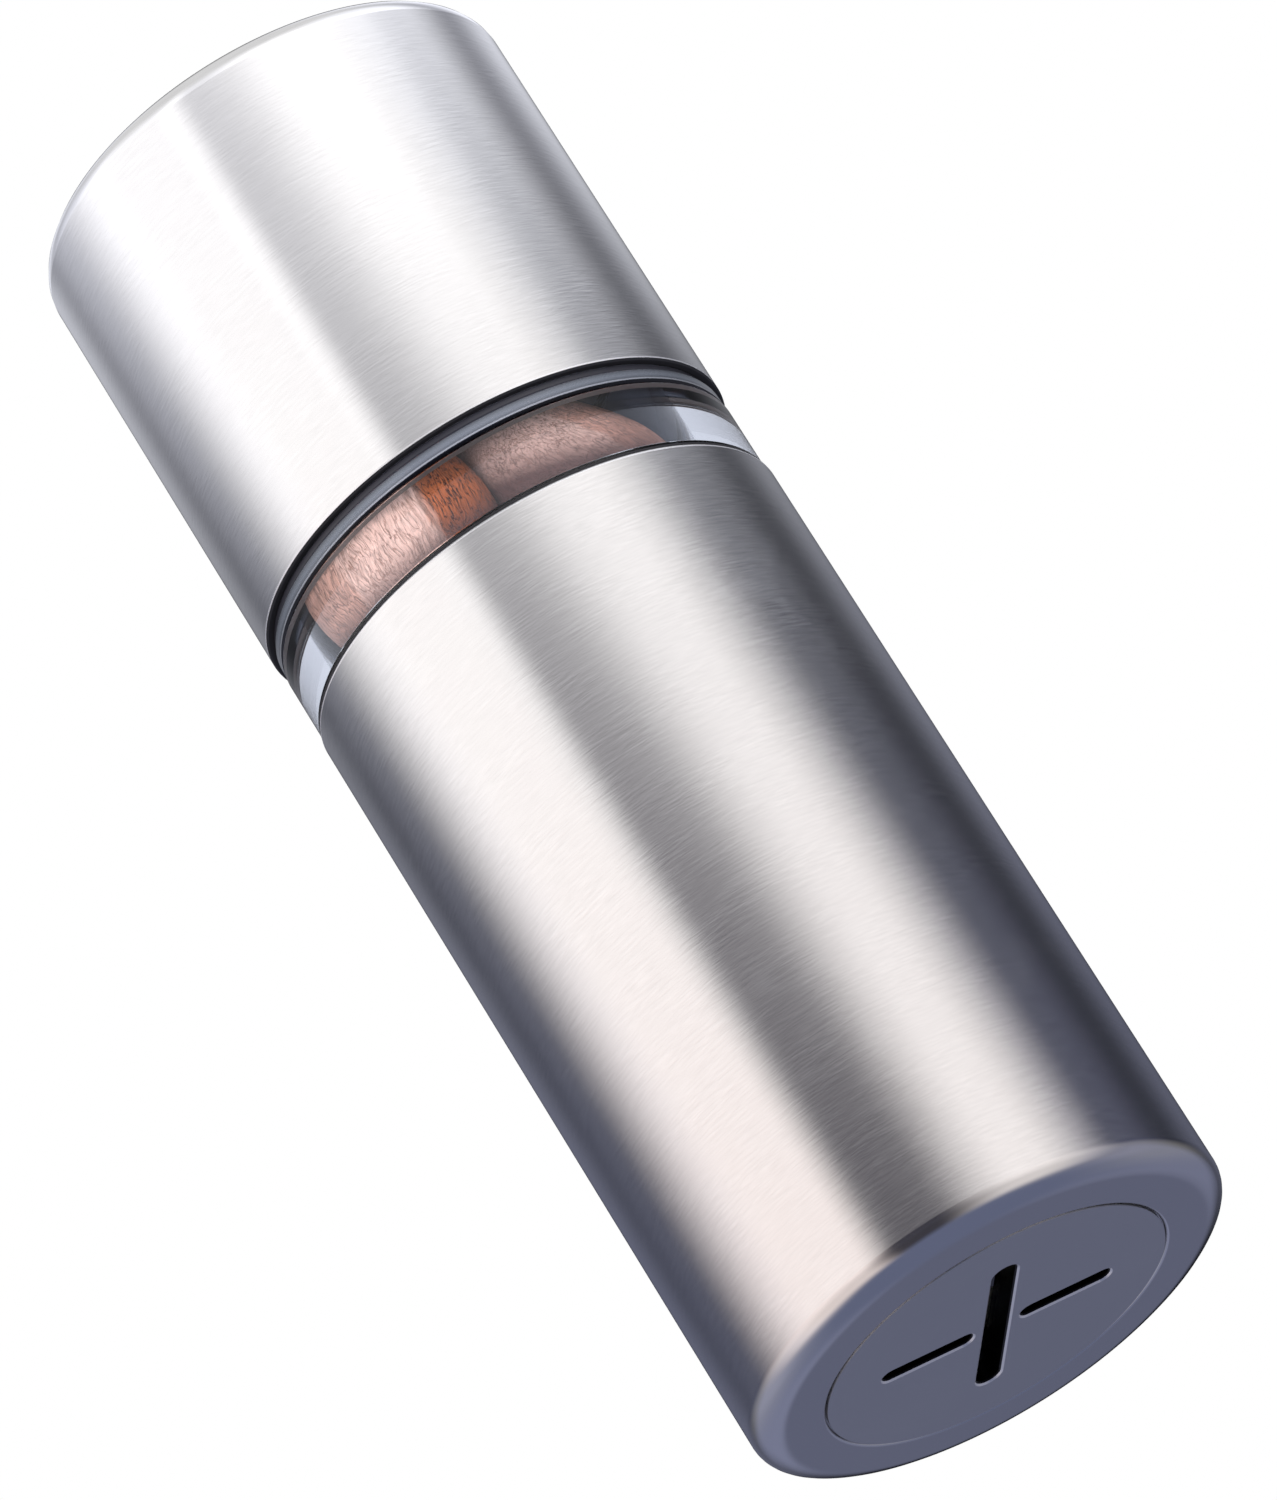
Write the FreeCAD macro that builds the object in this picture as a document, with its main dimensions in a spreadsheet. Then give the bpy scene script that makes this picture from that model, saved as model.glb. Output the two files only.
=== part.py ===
"""Twist mill for nutmegs: a steel body and cap with a clear storage window between them.

Millimetres. +Z runs up the mill's axis, and the origin is the middle of the base it stands on.
X runs along the two short grating slots of the base, and Y along the long one.
"""
import FreeCAD, Part

import math
import os
import re

import Sketcher

# Driving dimensions: name, value, meaning.
SIZES = (
    ("mill_radius", 25.0, "outside radius of both steel shells"),
    ("steel_wall", 0.8, "sheet thickness of both steel shells"),
    ("body_height", 85.5, "height of the lower shell"),
    ("shell_gap", 10.5, "height of the clear stretch between the shells"),
    ("cap_height", 47.0, "height of the upper shell"),
    ("edge_round", 2.5, "rounding of the closed ends of the shells"),
    ("rim_bevel", 0.2, "bevel of the open rims of the shells"),
    ("seat_gap", 0.05, "gap round pieces that are pressed in or screwed down"),
    ("running_gap", 0.08, "radial gap of the pieces that turn in each other"),
    ("slide_gap", 0.2, "gap round pieces that slide past each other"),
    ("groove_gap", 0.15, "fine groove round the base plate"),
    ("flange_reach", 4.3, "how far the base plate reaches over the shell's base"),
    ("flange_thick", 1.5, "thickness of that flange"),
    ("cutter_thick", 0.8, "thickness of the steel cutter plate"),
    ("long_slot_width", 2.45, "width of the slot across the base"),
    ("long_slot_margin", 1.3, "how much that slot stops short of the drive tube's bore"),
    ("short_slot_width", 1.8, "width of the two short slots"),
    ("short_slot_inner", 2.6, "where the short slots start, from the axis"),
    ("short_slot_margin", 0.8, "how much they stop short of the drive tube's bore"),
    ("slot_bevel", 0.3, "bevel round each slot on the underside"),
    ("blade_thick", 0.4, "thickness of the blades' feet"),
    ("blade_foot", 2.5, "width of the blades' feet"),
    ("blade_lift", 0.9, "height of the cutting edges over the cutter plate"),
    ("blade_start", 1.4, "where the long blades start, from the axis"),
    ("blade_margin", 0.6, "how much a blade stops short of its slot's end"),
    ("edge_overlap", 0.15, "how far a cutting edge passes its slot's middle"),
    ("rivet_radius", 0.6, "shank radius of the blade rivets"),
    ("rivet_head", 0.85, "head radius of the blade rivets"),
    ("rivet_head_thick", 0.35, "head thickness of the blade rivets"),
    ("rivet_place", 7.2, "distance of the rivets along each blade from the axis"),
    ("liner_wall", 1.6, "wall of the plastic liner in the body"),
    ("liner_floor", 2.0, "floor thickness of the liner"),
    ("screw_radius", 1.0, "thread radius of the small screws"),
    ("screw_head", 1.8, "head radius of the small screws"),
    ("screw_head_thick", 1.2, "head thickness of the small screws"),
    ("screw_recess", 0.5, "radius of the screws' round driving recess"),
    ("base_skin", 0.3, "metal left under the cutter screws' holes"),
    ("cutter_screw_gap", 0.55, "gap between the cutter screws' heads and the liner's wall"),
    ("cutter_screw_count", 4, "number of cutter screws"),
    ("tube_screw_gap", 1.2, "gap between the drive tube and the hub screws' heads"),
    ("tube_wall", 1.7, "wall of the drive tube"),
    ("tube_rise", 0.8, "lower end of the drive tube over the cutter plate"),
    ("tube_flange_inset", 3.0, "how much the drive tube's top flange is smaller than the hub's"),
    ("tube_flange_thick", 1.5, "thickness of that flange"),
    ("tube_foot", 1.4, "closed ring under the lug slots"),
    ("lug_slot_width", 3.2, "width of the two slots that drive the pusher"),
    ("lug_slot_length", 41.0, "length of those slots"),
    ("bush_wall", 2.4, "wall of the bush round the drive tube's lower end"),
    ("bush_lip", 1.2, "width and thickness of the bush's lip on the liner floor"),
    ("bush_height", 9.0, "height of that bush"),
    ("neck_play", 0.25, "gap between the storage tube's upper neck and the cap's liner"),
    ("neck_wall", 1.6, "wall of the storage tube's necks"),
    ("window_inset", 0.3, "how far the clear band lies inside the shells' outside"),
    ("window_height", 7.4, "height of the clear band"),
    ("window_bevel", 0.25, "bevel of the clear band's edges"),
    ("floor_depth", 5.7, "storage floor below the body's rim"),
    ("hub_disc_thick", 3.0, "thickness of the storage floor"),
    ("hub_flange_thick", 1.5, "thickness of the hub's flange under the neck"),
    ("hub_ledge", 0.8, "how far that flange reaches past the neck"),
    ("hub_screw_edge", 2.5, "distance of the hub screws' axes from the tube flange's rim"),
    ("hub_screw_count", 3, "number of hub screws"),
    ("neck_rise", 26.0, "top of the storage tube over the cap's rim"),
    ("plug_inset", 0.2, "gap between the plug ring and the steel shell"),
    ("plug_skirt", 5.2, "plug ring below its inner ledge"),
    ("plug_flange_thick", 0.25, "flange of the plug ring on the body's rim"),
    ("plug_flange_inset", 0.15, "how far that flange stays inside the shell's outside"),
    ("washer_thick", 0.2, "thickness of the glide washer"),
    ("key_angle", 20.0, "width of the keys under the plug ring, in degrees"),
    ("key_height", 2.0, "height of those keys"),
    ("plug_seal_drop", 5.5, "plug seal below the body's rim"),
    ("seal_section", 0.5, "section radius of the plug seal"),
    ("grip_section", 0.4, "section radius of the grip ring in the cap"),
    ("grip_rise", 12.0, "grip ring over the cap's rim"),
    ("step_height", 0.25, "open joint between the clear band and the collar"),
    ("step_depth", 0.7, "depth of that joint"),
    ("collar_height", 1.6, "height of the clear collar under the cap"),
    ("collar_inset", 0.4, "how far the collar lies inside the shells' outside"),
    ("seal_inset", 0.7, "how far the cap seal lies inside the shells' outside"),
    ("cap_liner_wall", 1.7, "wall of the plastic liner in the cap"),
    ("cap_liner_roof", 1.5, "roof thickness of that liner"),
    ("pusher_thick", 3.0, "thickness of the pusher's disc"),
    ("pusher_lug", 1.6, "how far the pusher's lugs reach out of its disc"),
    ("spike_count", 4, "number of the pusher's spikes"),
    ("spike_ring_radius", 6.0, "radius on which the spikes stand"),
    ("spike_radius", 0.5, "shank radius of the spikes"),
    ("spike_length", 0.9, "point of a spike below the pusher"),
    ("spike_shank", 2.0, "shank of a spike inside the pusher"),
    ("coil_radius", 7.4, "mean radius of the pusher spring"),
    ("wire_radius", 0.55, "wire radius of the pusher spring"),
    ("coil_turns", 14, "turns of the pusher spring"),
    ("spigot_height", 3.5, "height of the spigots that centre the spring"),
    ("seat_thick", 1.3, "thickness of the spring seat"),
    ("key_play_angle", 3.0, "play of the keys in the liner, in degrees"),
    ("hub_screw_bite", 2.6, "length of the hub screws inside the hub"),
    ("nutmeg_play", 1.21, "room that three stored nutmegs leave across the storage tube"),
    ("nutmeg_1_half", 14.0, "half length of the first stored nutmeg"),
    ("nutmeg_2_half", 12.3, "half length of the second one"),
    ("nutmeg_3_half", 11.2, "half length of the third one"),
    ("nutmeg_1_gap", 0.1, "gap between the first nutmeg and the tube's wall"),
    ("nutmeg_2_gap", 2.45, "the same for the second one, which leans"),
    ("nutmeg_3_gap", 0.1, "the same for the third one"),
    ("nutmeg_1_angle", -154.6, "heading of the first nutmeg from the axis, in degrees"),
    ("nutmeg_2_angle", -19.9, "heading of the second one"),
    ("nutmeg_3_angle", 102.5, "heading of the third one"),
    ("nutmeg_lean_angle", 32.3, "lean of the second one, in degrees"),
    ("nutmeg_lean_side_angle", 198.4, "heading that its upper end leans to"),
)

# Places worked out from the driving dimensions, each from those above it: name, formula.
LEVELS = (
    ("shell_bore", "mill_radius - steel_wall"),
    ("inner_round", "edge_round - steel_wall"),
    ("cap_base", "body_height + shell_gap"),
    ("mill_height", "cap_base + cap_height"),
    ("liner_outside", "shell_bore - seat_gap"),
    ("liner_bore", "liner_outside - liner_wall"),
    ("cap_liner_bore", "liner_outside - cap_liner_wall"),
    ("cap_liner_top", "mill_height - steel_wall - seat_gap"),
    ("neck_outside", "cap_liner_bore - neck_play"),
    ("storage_bore", "neck_outside - neck_wall"),
    ("nutmeg_radius", "(storage_bore - nutmeg_play) / (1 + 2 / sqrt(3))"),
    ("hub_radius", "neck_outside + hub_ledge"),
    ("tube_flange", "hub_radius - tube_flange_inset"),
    ("hub_screw_circle", "tube_flange - hub_screw_edge"),
    ("tube_outside", "hub_screw_circle - screw_head - tube_screw_gap"),
    ("tube_bore", "tube_outside - tube_wall"),
    ("bush_bore", "tube_outside + running_gap"),
    ("bush_outside", "bush_bore + bush_wall"),
    ("cutter_screw_circle", "liner_bore - screw_head - cutter_screw_gap"),
    ("flange_radius", "shell_bore - inner_round - slide_gap"),
    ("base_hole", "flange_radius - flange_reach"),
    ("boss_radius", "base_hole - groove_gap"),
    ("long_slot_reach", "tube_bore - long_slot_margin"),
    ("short_slot_outer", "tube_bore - short_slot_margin"),
    ("cutter_low", "steel_wall + flange_thick"),
    ("cutter_top", "cutter_low + cutter_thick"),
    ("liner_floor_top", "cutter_top + liner_floor"),
    ("tube_low", "cutter_top + tube_rise"),
    ("lug_slot_low", "tube_low + tube_foot"),
    ("storage_floor", "body_height - floor_depth"),
    ("neck_low", "storage_floor - hub_disc_thick"),
    ("hub_low", "neck_low - hub_flange_thick"),
    ("tube_flange_low", "hub_low - tube_flange_thick"),
    ("plug_outside", "shell_bore - plug_inset"),
    ("plug_bore", "neck_outside + running_gap"),
    ("plug_ledge", "neck_low + running_gap"),
    ("plug_low", "plug_ledge - plug_skirt"),
    ("plug_top", "body_height + plug_flange_thick"),
    ("plug_seal_level", "body_height - plug_seal_drop"),
    ("liner_top", "plug_low - slide_gap"),
    ("washer_top", "plug_top + washer_thick"),
    ("window_low", "washer_top + seat_gap"),
    ("window_top", "window_low + window_height"),
    ("window_radius", "mill_radius - window_inset"),
    ("step_radius", "window_radius - step_depth"),
    ("collar_low", "window_top + step_height"),
    ("collar_top", "collar_low + collar_height"),
    ("neck_top", "cap_base + neck_rise"),
    ("grip_level", "cap_base + grip_rise"),
    ("pusher_low", "lug_slot_low + seat_gap"),
    ("pusher_top", "pusher_low + pusher_thick"),
    ("spring_low", "pusher_top + seat_gap"),
    ("spring_top", "hub_low - seat_thick - seat_gap"),
    ("spigot_radius", "coil_radius - wire_radius - slide_gap"),
)

FULL_TURN = 360.0
QUARTER_TURN = 90.0
# Lengths closer together than this count as equal.
NEAR = 1e-4

DOC = FreeCAD.newDocument("nutmeg_mill")
NAMED = {}
PARTS = []


def linked(formula):
    """Turn the plain names in a formula into references to the sheets."""
    return re.sub(r"[a-z]\w+", lambda word: NAMED.get(word.group(0), word.group(0)), formula)


def new_sheet(name, rows):
    """Make a sheet of rows with a name, a content and the name as its alias."""
    sheet = DOC.addObject("Spreadsheet::Sheet", name)
    for line, (alias, content) in enumerate(rows, start=1):
        sheet.set(f"A{line}", alias)
        sheet.set(f"B{line}", linked(content))
        sheet.setAlias(f"B{line}", alias)
        NAMED[alias] = f"{name}.{alias}"
    return sheet


def bind(thing, path, formula):
    """Tie one property or constraint of an object to a formula."""
    thing.setExpression(path, linked(formula))


def value(formula):
    """The present value of a formula."""
    return float(SHEET.evalExpression(linked(formula)))


SHEET = new_sheet("Sizes", [(name, str(number)) for name, number, _ in SIZES])
new_sheet("Levels", [(name, "=" + formula) for name, formula in LEVELS])
DOC.recompute()


# ---------------------------------------------------------------- sketches and features

def new_body(name):
    """Start a sub-part."""
    body = DOC.addObject("PartDesign::Body", name)
    body.Label = name
    PARTS.append(body)
    return body


def datum(body, role):
    """One of the body's own origin planes or axes."""
    return next(item for item in body.Origin.OriginFeatures if item.Role == role)


def new_sketch(body, plane, height="0"):
    """Start a sketch on an origin plane, raised along the plane's normal."""
    sketch = body.newObject("Sketcher::SketchObject", body.Name + "_sketch")
    sketch.AttachmentSupport = (datum(body, plane), [""])
    sketch.MapMode = "FlatFace"
    if height != "0":
        bind(sketch, "AttachmentOffset.Base.z", height)
    return sketch


def pin_point(sketch, item, end, across, along):
    """Hold a point of a sketch at two formulas, measured from the sketch's origin."""
    for kind, axis, formula in (("DistanceX", -2, across), ("DistanceY", -1, along)):
        number = value(formula)
        if formula == "0":
            sketch.addConstraint(Sketcher.Constraint("PointOnObject", item, end, axis))
            continue
        index = sketch.addConstraint(Sketcher.Constraint(kind, -1, 1, item, end, number))
        bind(sketch, f"Constraints[{index}]", formula)


def add_outline(sketch, corners):
    """Draw a closed outline of straight lines through corners given as pairs of formulas."""
    spots = [FreeCAD.Vector(value(across), value(along), 0) for across, along in corners]
    first = sketch.GeometryCount
    count = len(spots)
    for index, spot in enumerate(spots):
        sketch.addGeometry(Part.LineSegment(spot, spots[(index + 1) % count]), False)
    for index in range(count):
        following = first + (index + 1) % count
        sketch.addConstraint(Sketcher.Constraint("Coincident", first + index, 2, following, 1))
    for index, (across, along) in enumerate(corners):
        pin_point(sketch, first + index, 1, across, along)


def add_circle(sketch, across, along, radius):
    """Draw a circle whose centre and radius are formulas."""
    centre = FreeCAD.Vector(value(across), value(along), 0)
    circle = Part.Circle(centre, FreeCAD.Vector(0, 0, 1), value(radius))
    item = sketch.addGeometry(circle, False)
    pin_point(sketch, item, 3, across, along)
    index = sketch.addConstraint(Sketcher.Constraint("Radius", item, value(radius)))
    bind(sketch, f"Constraints[{index}]", radius)


def add_slot(sketch, start, end, width, upright):
    """Draw a round-ended slot along X, or along Y when upright, from one end to the other."""
    radius = value(width) / 2
    near, far = value(start) + radius, value(end) - radius
    turn = FreeCAD.Rotation(FreeCAD.Vector(0, 0, 1), QUARTER_TURN if upright else 0)

    def spot(along, aside):
        return turn.multVec(FreeCAD.Vector(along, aside, 0))

    def half_circle(along, low, middle, high):
        points = [spot(along + radius * math.cos(math.radians(angle)),
                       radius * math.sin(math.radians(angle))) for angle in (low, middle, high)]
        return Part.Arc(*points)

    far_arc = sketch.addGeometry(half_circle(far, -90, 0, 90), False)
    top = sketch.addGeometry(Part.LineSegment(spot(far, radius), spot(near, radius)), False)
    near_arc = sketch.addGeometry(half_circle(near, 90, 180, 270), False)
    bottom = sketch.addGeometry(Part.LineSegment(spot(near, -radius), spot(far, -radius)), False)
    for first, first_end, second, second_end in (
            (far_arc, 2, top, 1), (top, 2, near_arc, 1),
            (near_arc, 2, bottom, 1), (bottom, 2, far_arc, 1)):
        tangent = Sketcher.Constraint("Tangent", first, first_end, second, second_end)
        sketch.addConstraint(tangent)
    sketch.addConstraint(Sketcher.Constraint("Equal", far_arc, near_arc))
    for arc, formula in ((near_arc, f"{start} + {width} / 2"), (far_arc, f"{end} - {width} / 2")):
        pair = ("0", formula) if upright else (formula, "0")
        pin_point(sketch, arc, 3, *pair)
    index = sketch.addConstraint(Sketcher.Constraint("Radius", far_arc, radius))
    bind(sketch, f"Constraints[{index}]", f"{width} / 2")


def revolve(body, sketch, axis="V_Axis", angle=None, cut=False):
    """Turn a sketch about one of its axes, to add or cut, fully or by a formula's angle."""
    kind = "PartDesign::Groove" if cut else "PartDesign::Revolution"
    feature = body.newObject(kind, body.Name + ("_groove" if cut else "_turn"))
    feature.Profile = sketch
    feature.ReferenceAxis = (sketch, [axis])
    feature.Angle = FULL_TURN
    if angle:
        feature.Midplane = True
        bind(feature, "Angle", angle)
    sketch.Visibility = False
    return feature


def turned(name, corners):
    """A sub-part turned about the mill's axis from an outline of radius and height formulas."""
    body = new_body(name)
    sketch = new_sketch(body, "XZ_Plane")
    add_outline(sketch, corners)
    revolve(body, sketch)
    DOC.recompute()
    return body


def cut_through(body, sketch):
    """Pocket a sketch through the whole body, both ways from its plane."""
    volume = body.Shape.Volume
    pocket = body.newObject("PartDesign::Pocket", body.Name + "_cut")
    pocket.Profile = sketch
    pocket.Type = "ThroughAll"
    pocket.Midplane = True
    DOC.recompute()
    check_removed(body, volume)
    return pocket


def cut_depth(body, sketch, depth, upward):
    """Pocket a sketch by a formula's depth, to the side of its plane that is named."""
    volume = body.Shape.Volume
    pocket = body.newObject("PartDesign::Pocket", body.Name + "_cut")
    pocket.Profile = sketch
    pocket.Reversed = upward
    bind(pocket, "Length", depth)
    DOC.recompute()
    check_removed(body, volume)
    return pocket


def check_removed(body, volume):
    """Stop when a cut removed nothing."""
    if body.Shape.Volume > volume - NEAR:
        raise RuntimeError(f"{body.Label}: a cut removed nothing")


def repeat_round(body, features, count):
    """Repeat features evenly about the mill's axis."""
    pattern = body.newObject("PartDesign::PolarPattern", body.Name + "_ring")
    pattern.Originals = features
    pattern.Axis = (datum(body, "Z_Axis"), [""])
    pattern.Angle = FULL_TURN
    bind(pattern, "Occurrences", count)
    body.Tip = pattern
    DOC.recompute()
    return pattern


def near(first, second):
    """Whether two lengths are equal but for rounding."""
    return abs(first - second) < NEAR


def ring_edges(body, radius, height):
    """Names of the body's whole circular edges about the axis at one radius and height."""
    names = []
    for index, edge in enumerate(body.Shape.Edges, start=1):
        if not isinstance(edge.Curve, Part.Circle):
            continue
        centre = edge.Curve.Center
        on_axis = near(math.hypot(centre.x, centre.y), 0)
        if on_axis and near(edge.Curve.Radius, value(radius)) and near(centre.z, value(height)):
            names.append(f"Edge{index}")
    return names


def round_edges(body, rings, size):
    """Round whole circular edges, given as pairs of radius and height formulas."""
    names = [name for radius, height in rings for name in ring_edges(body, radius, height)]
    if len(names) != len(rings):
        raise RuntimeError(f"{body.Label}: {len(names)} of {len(rings)} edges found to round")
    sharp = body.Tip
    fillet = body.newObject("PartDesign::Fillet", body.Name + "_round")
    fillet.Base = (sharp, names)
    bind(fillet, "Radius", size)
    DOC.recompute()
    return fillet


def bevel_slots(body, height, reach):
    """Bevel the edges of the slots on one flat face, all nearer to the axis than a radius."""
    names = []
    for index, edge in enumerate(body.Shape.Edges, start=1):
        box = edge.BoundBox
        flat = near(box.ZMin, value(height)) and near(box.ZMax, value(height))
        corner = math.hypot(max(abs(box.XMin), abs(box.XMax)), max(abs(box.YMin), abs(box.YMax)))
        if flat and corner < value(reach):
            names.append(f"Edge{index}")
    sharp = body.Tip
    chamfer = body.newObject("PartDesign::Chamfer", body.Name + "_bevel")
    chamfer.Base = (sharp, names)
    bind(chamfer, "Size", "slot_bevel")
    DOC.recompute()
    return chamfer


def cut_slots(body):
    """Cut the long slot and the two short ones through a plate."""
    sketch = new_sketch(body, "XY_Plane")
    add_slot(sketch, "0 - long_slot_reach", "long_slot_reach", "long_slot_width", True)
    cut_through(body, sketch)
    sketch = new_sketch(body, "XY_Plane")
    add_slot(sketch, "short_slot_inner", "short_slot_outer", "short_slot_width", False)
    repeat_round(body, [cut_through(body, sketch)], "2")


def turned_screw(body, circle, tip, under_head, head_end):
    """A screw on the X side of the mill: shank from tip to head, head on to head_end."""
    sketch = new_sketch(body, "XZ_Plane")
    shank = f"{circle} + screw_radius"
    head = f"{circle} + screw_head"
    recess = f"{circle} + screw_recess"
    recess_level = f"({under_head} + {head_end}) / 2"
    add_outline(sketch, (
        (circle, tip), (shank, tip), (shank, under_head), (head, under_head),
        (head, head_end), (recess, head_end), (recess, recess_level), (circle, recess_level)))
    return revolve_in_place(body, sketch, circle, tip, recess_level)


def revolve_in_place(body, sketch, circle, low, high):
    """Turn a sketch about an upright line of its own, at a distance from the mill's axis."""
    axis = sketch.addGeometry(Part.LineSegment(
        FreeCAD.Vector(value(circle), value(low), 0),
        FreeCAD.Vector(value(circle), value(high), 0)), True)
    pin_point(sketch, axis, 1, circle, low)
    pin_point(sketch, axis, 2, circle, high)
    feature = revolve(body, sketch, axis="Axis0")
    DOC.recompute()
    return feature


def drill_ring(body, radius, circle, count, level, depth, upward=False):
    """Drill a ring of holes: their radius, circle and count, and their mouth's level and depth."""
    sketch = new_sketch(body, "XY_Plane", level)
    add_circle(sketch, circle, "0", radius)
    repeat_round(body, [cut_depth(body, sketch, depth, upward)], count)


def pad(body, sketch, length):
    """Raise a sketch by a formula's length along its normal."""
    feature = body.newObject("PartDesign::Pad", body.Name + "_pad")
    feature.Profile = sketch
    bind(feature, "Length", length)
    sketch.Visibility = False
    DOC.recompute()
    return feature


def seal_ring(name, middle_radius, section, level):
    """A round-section seal about the mill's axis."""
    ring = DOC.addObject("Part::Torus", name)
    ring.Label = name
    bind(ring, "Radius1", middle_radius)
    bind(ring, "Radius2", section)
    bind(ring, "Placement.Base.z", level)
    PARTS.append(ring)


# ---------------------------------------------------------------- lower shell and grating end

def body_sleeve():
    """The lower steel shell: a tube whose base is turned in to a wide flat ring."""
    body = turned("body_sleeve", (
        ("base_hole", "0"), ("mill_radius", "0"), ("mill_radius", "body_height - rim_bevel"),
        ("mill_radius - rim_bevel", "body_height"), ("shell_bore", "body_height"),
        ("shell_bore", "steel_wall"), ("base_hole", "steel_wall")))
    round_edges(body, [("mill_radius", "0")], "edge_round")
    round_edges(body, [("shell_bore", "steel_wall")], "inner_round")


def base_plate():
    """The round plate in the base's hole, flush below, with the slots that let the powder out."""
    body = turned("base_plate", (
        ("0", "0"), ("boss_radius", "0"), ("boss_radius", "steel_wall"),
        ("flange_radius", "steel_wall"), ("flange_radius", "cutter_low"), ("0", "cutter_low")))
    cut_slots(body)
    bevel_slots(body, "0", "tube_bore")
    drill_ring(body, "screw_radius + seat_gap", "cutter_screw_circle", "cutter_screw_count",
               "cutter_low", "flange_thick - base_skin")


def rivet_spots():
    """Places of one short and one long blade's rivet, as pairs of formulas."""
    short = "short_slot_width / 2 + seat_gap + blade_foot / 2"
    long = "long_slot_width / 2 + seat_gap + blade_foot / 2"
    return (("rivet_place", short), (f"0 - ({long})", "rivet_place"))


def cutter_plate():
    """The steel disc on the base plate that carries the blades."""
    body = turned("cutter_plate", (
        ("0", "cutter_low"), ("flange_radius", "cutter_low"),
        ("flange_radius", "cutter_top"), ("0", "cutter_top")))
    cut_slots(body)
    drill_ring(body, "screw_radius + seat_gap", "cutter_screw_circle", "cutter_screw_count",
               "cutter_top", "cutter_thick")
    sketch = new_sketch(body, "XY_Plane", "cutter_top")
    for across, along in rivet_spots():
        add_circle(sketch, across, along, "rivet_radius + seat_gap")
    repeat_round(body, [cut_depth(body, sketch, "cutter_thick", False)], "2")


def blade(name, turn, slot_width, start, end):
    """A bent blade along one half of a slot, with its cutting edge over the slot's middle."""
    body = new_body(name)
    foot = f"{slot_width} / 2 + seat_gap"
    sketch = new_sketch(body, "YZ_Plane", start)
    add_outline(sketch, (
        (f"{foot} + blade_foot", "cutter_top"),
        (f"{foot} + blade_foot", "cutter_top + blade_thick"),
        (f"{foot} + blade_thick", "cutter_top + blade_thick"),
        ("0 - edge_overlap", "cutter_top + blade_lift"),
        (foot, "cutter_top")))
    pad(body, sketch, f"{end} - blade_margin - ({start})")
    sketch = new_sketch(body, "XY_Plane")
    add_circle(sketch, "rivet_place", f"{foot} + blade_foot / 2", "rivet_radius + seat_gap")
    cut_through(body, sketch)
    body.Placement = FreeCAD.Placement(
        FreeCAD.Vector(), FreeCAD.Rotation(FreeCAD.Vector(0, 0, 1), turn))


def blades():
    """Two short blades on the X line and two long ones on the Y line, opposite each other."""
    for number, turn in enumerate((0, 2 * QUARTER_TURN), start=1):
        blade(f"short_blade_{number}", turn, "short_slot_width",
              "short_slot_inner + blade_margin", "short_slot_outer")
        blade(f"long_blade_{number}", turn + QUARTER_TURN, "long_slot_width",
              "blade_start", "long_slot_reach")


def blade_rivets():
    """The four rivets that hold the blades on the cutter plate."""
    body = new_body("blade_rivets")
    pads = []
    for level, radius, length in (
            ("cutter_low", "rivet_radius", "cutter_thick + blade_thick"),
            ("cutter_top + blade_thick", "rivet_head", "rivet_head_thick")):
        sketch = new_sketch(body, "XY_Plane", level)
        for across, along in rivet_spots():
            add_circle(sketch, across, along, radius)
        pads.append(pad(body, sketch, length))
    repeat_round(body, pads, "2")


def cutter_screws():
    """The screws that pull the liner's floor and the cutter plate down on the base plate."""
    body = new_body("cutter_screws")
    screw = turned_screw(body, "cutter_screw_circle", "steel_wall + base_skin + seat_gap",
                         "liner_floor_top", "liner_floor_top + screw_head_thick")
    repeat_round(body, [screw], "cutter_screw_count")


def chamber_liner():
    """The plastic cup pressed into the lower shell, notched at its top for the plug's keys."""
    body = turned("chamber_liner", (
        ("bush_outside + seat_gap", "cutter_top"), ("liner_outside", "cutter_top"),
        ("liner_outside", "liner_top"), ("liner_bore", "liner_top"),
        ("liner_bore", "liner_floor_top"), ("bush_outside + seat_gap", "liner_floor_top")))
    drill_ring(body, "screw_radius + seat_gap", "cutter_screw_circle", "cutter_screw_count",
               "liner_floor_top", "liner_floor")
    volume = body.Shape.Volume
    sketch = new_sketch(body, "XZ_Plane")
    notch_floor = "plug_low - key_height - slide_gap"
    add_outline(sketch, (
        ("liner_bore - liner_wall", notch_floor), ("liner_outside + liner_wall", notch_floor),
        ("liner_outside + liner_wall", "plug_low"), ("liner_bore - liner_wall", "plug_low")))
    notch = revolve(body, sketch, angle="key_angle + key_play_angle", cut=True)
    repeat_round(body, [notch], "2")
    check_removed(body, volume)


def tube_bush():
    """The plastic bush in the liner's floor that guides the drive tube's lower end."""
    turned("tube_bush", (
        ("bush_bore", "cutter_top"), ("bush_outside", "cutter_top"),
        ("bush_outside", "liner_floor_top"), ("bush_outside + bush_lip", "liner_floor_top"),
        ("bush_outside + bush_lip", "liner_floor_top + bush_lip"),
        ("bush_outside", "liner_floor_top + bush_lip"),
        ("bush_outside", "cutter_top + bush_height"), ("bush_bore", "cutter_top + bush_height")))


# ---------------------------------------------------------------- plug in the body's mouth

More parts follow.
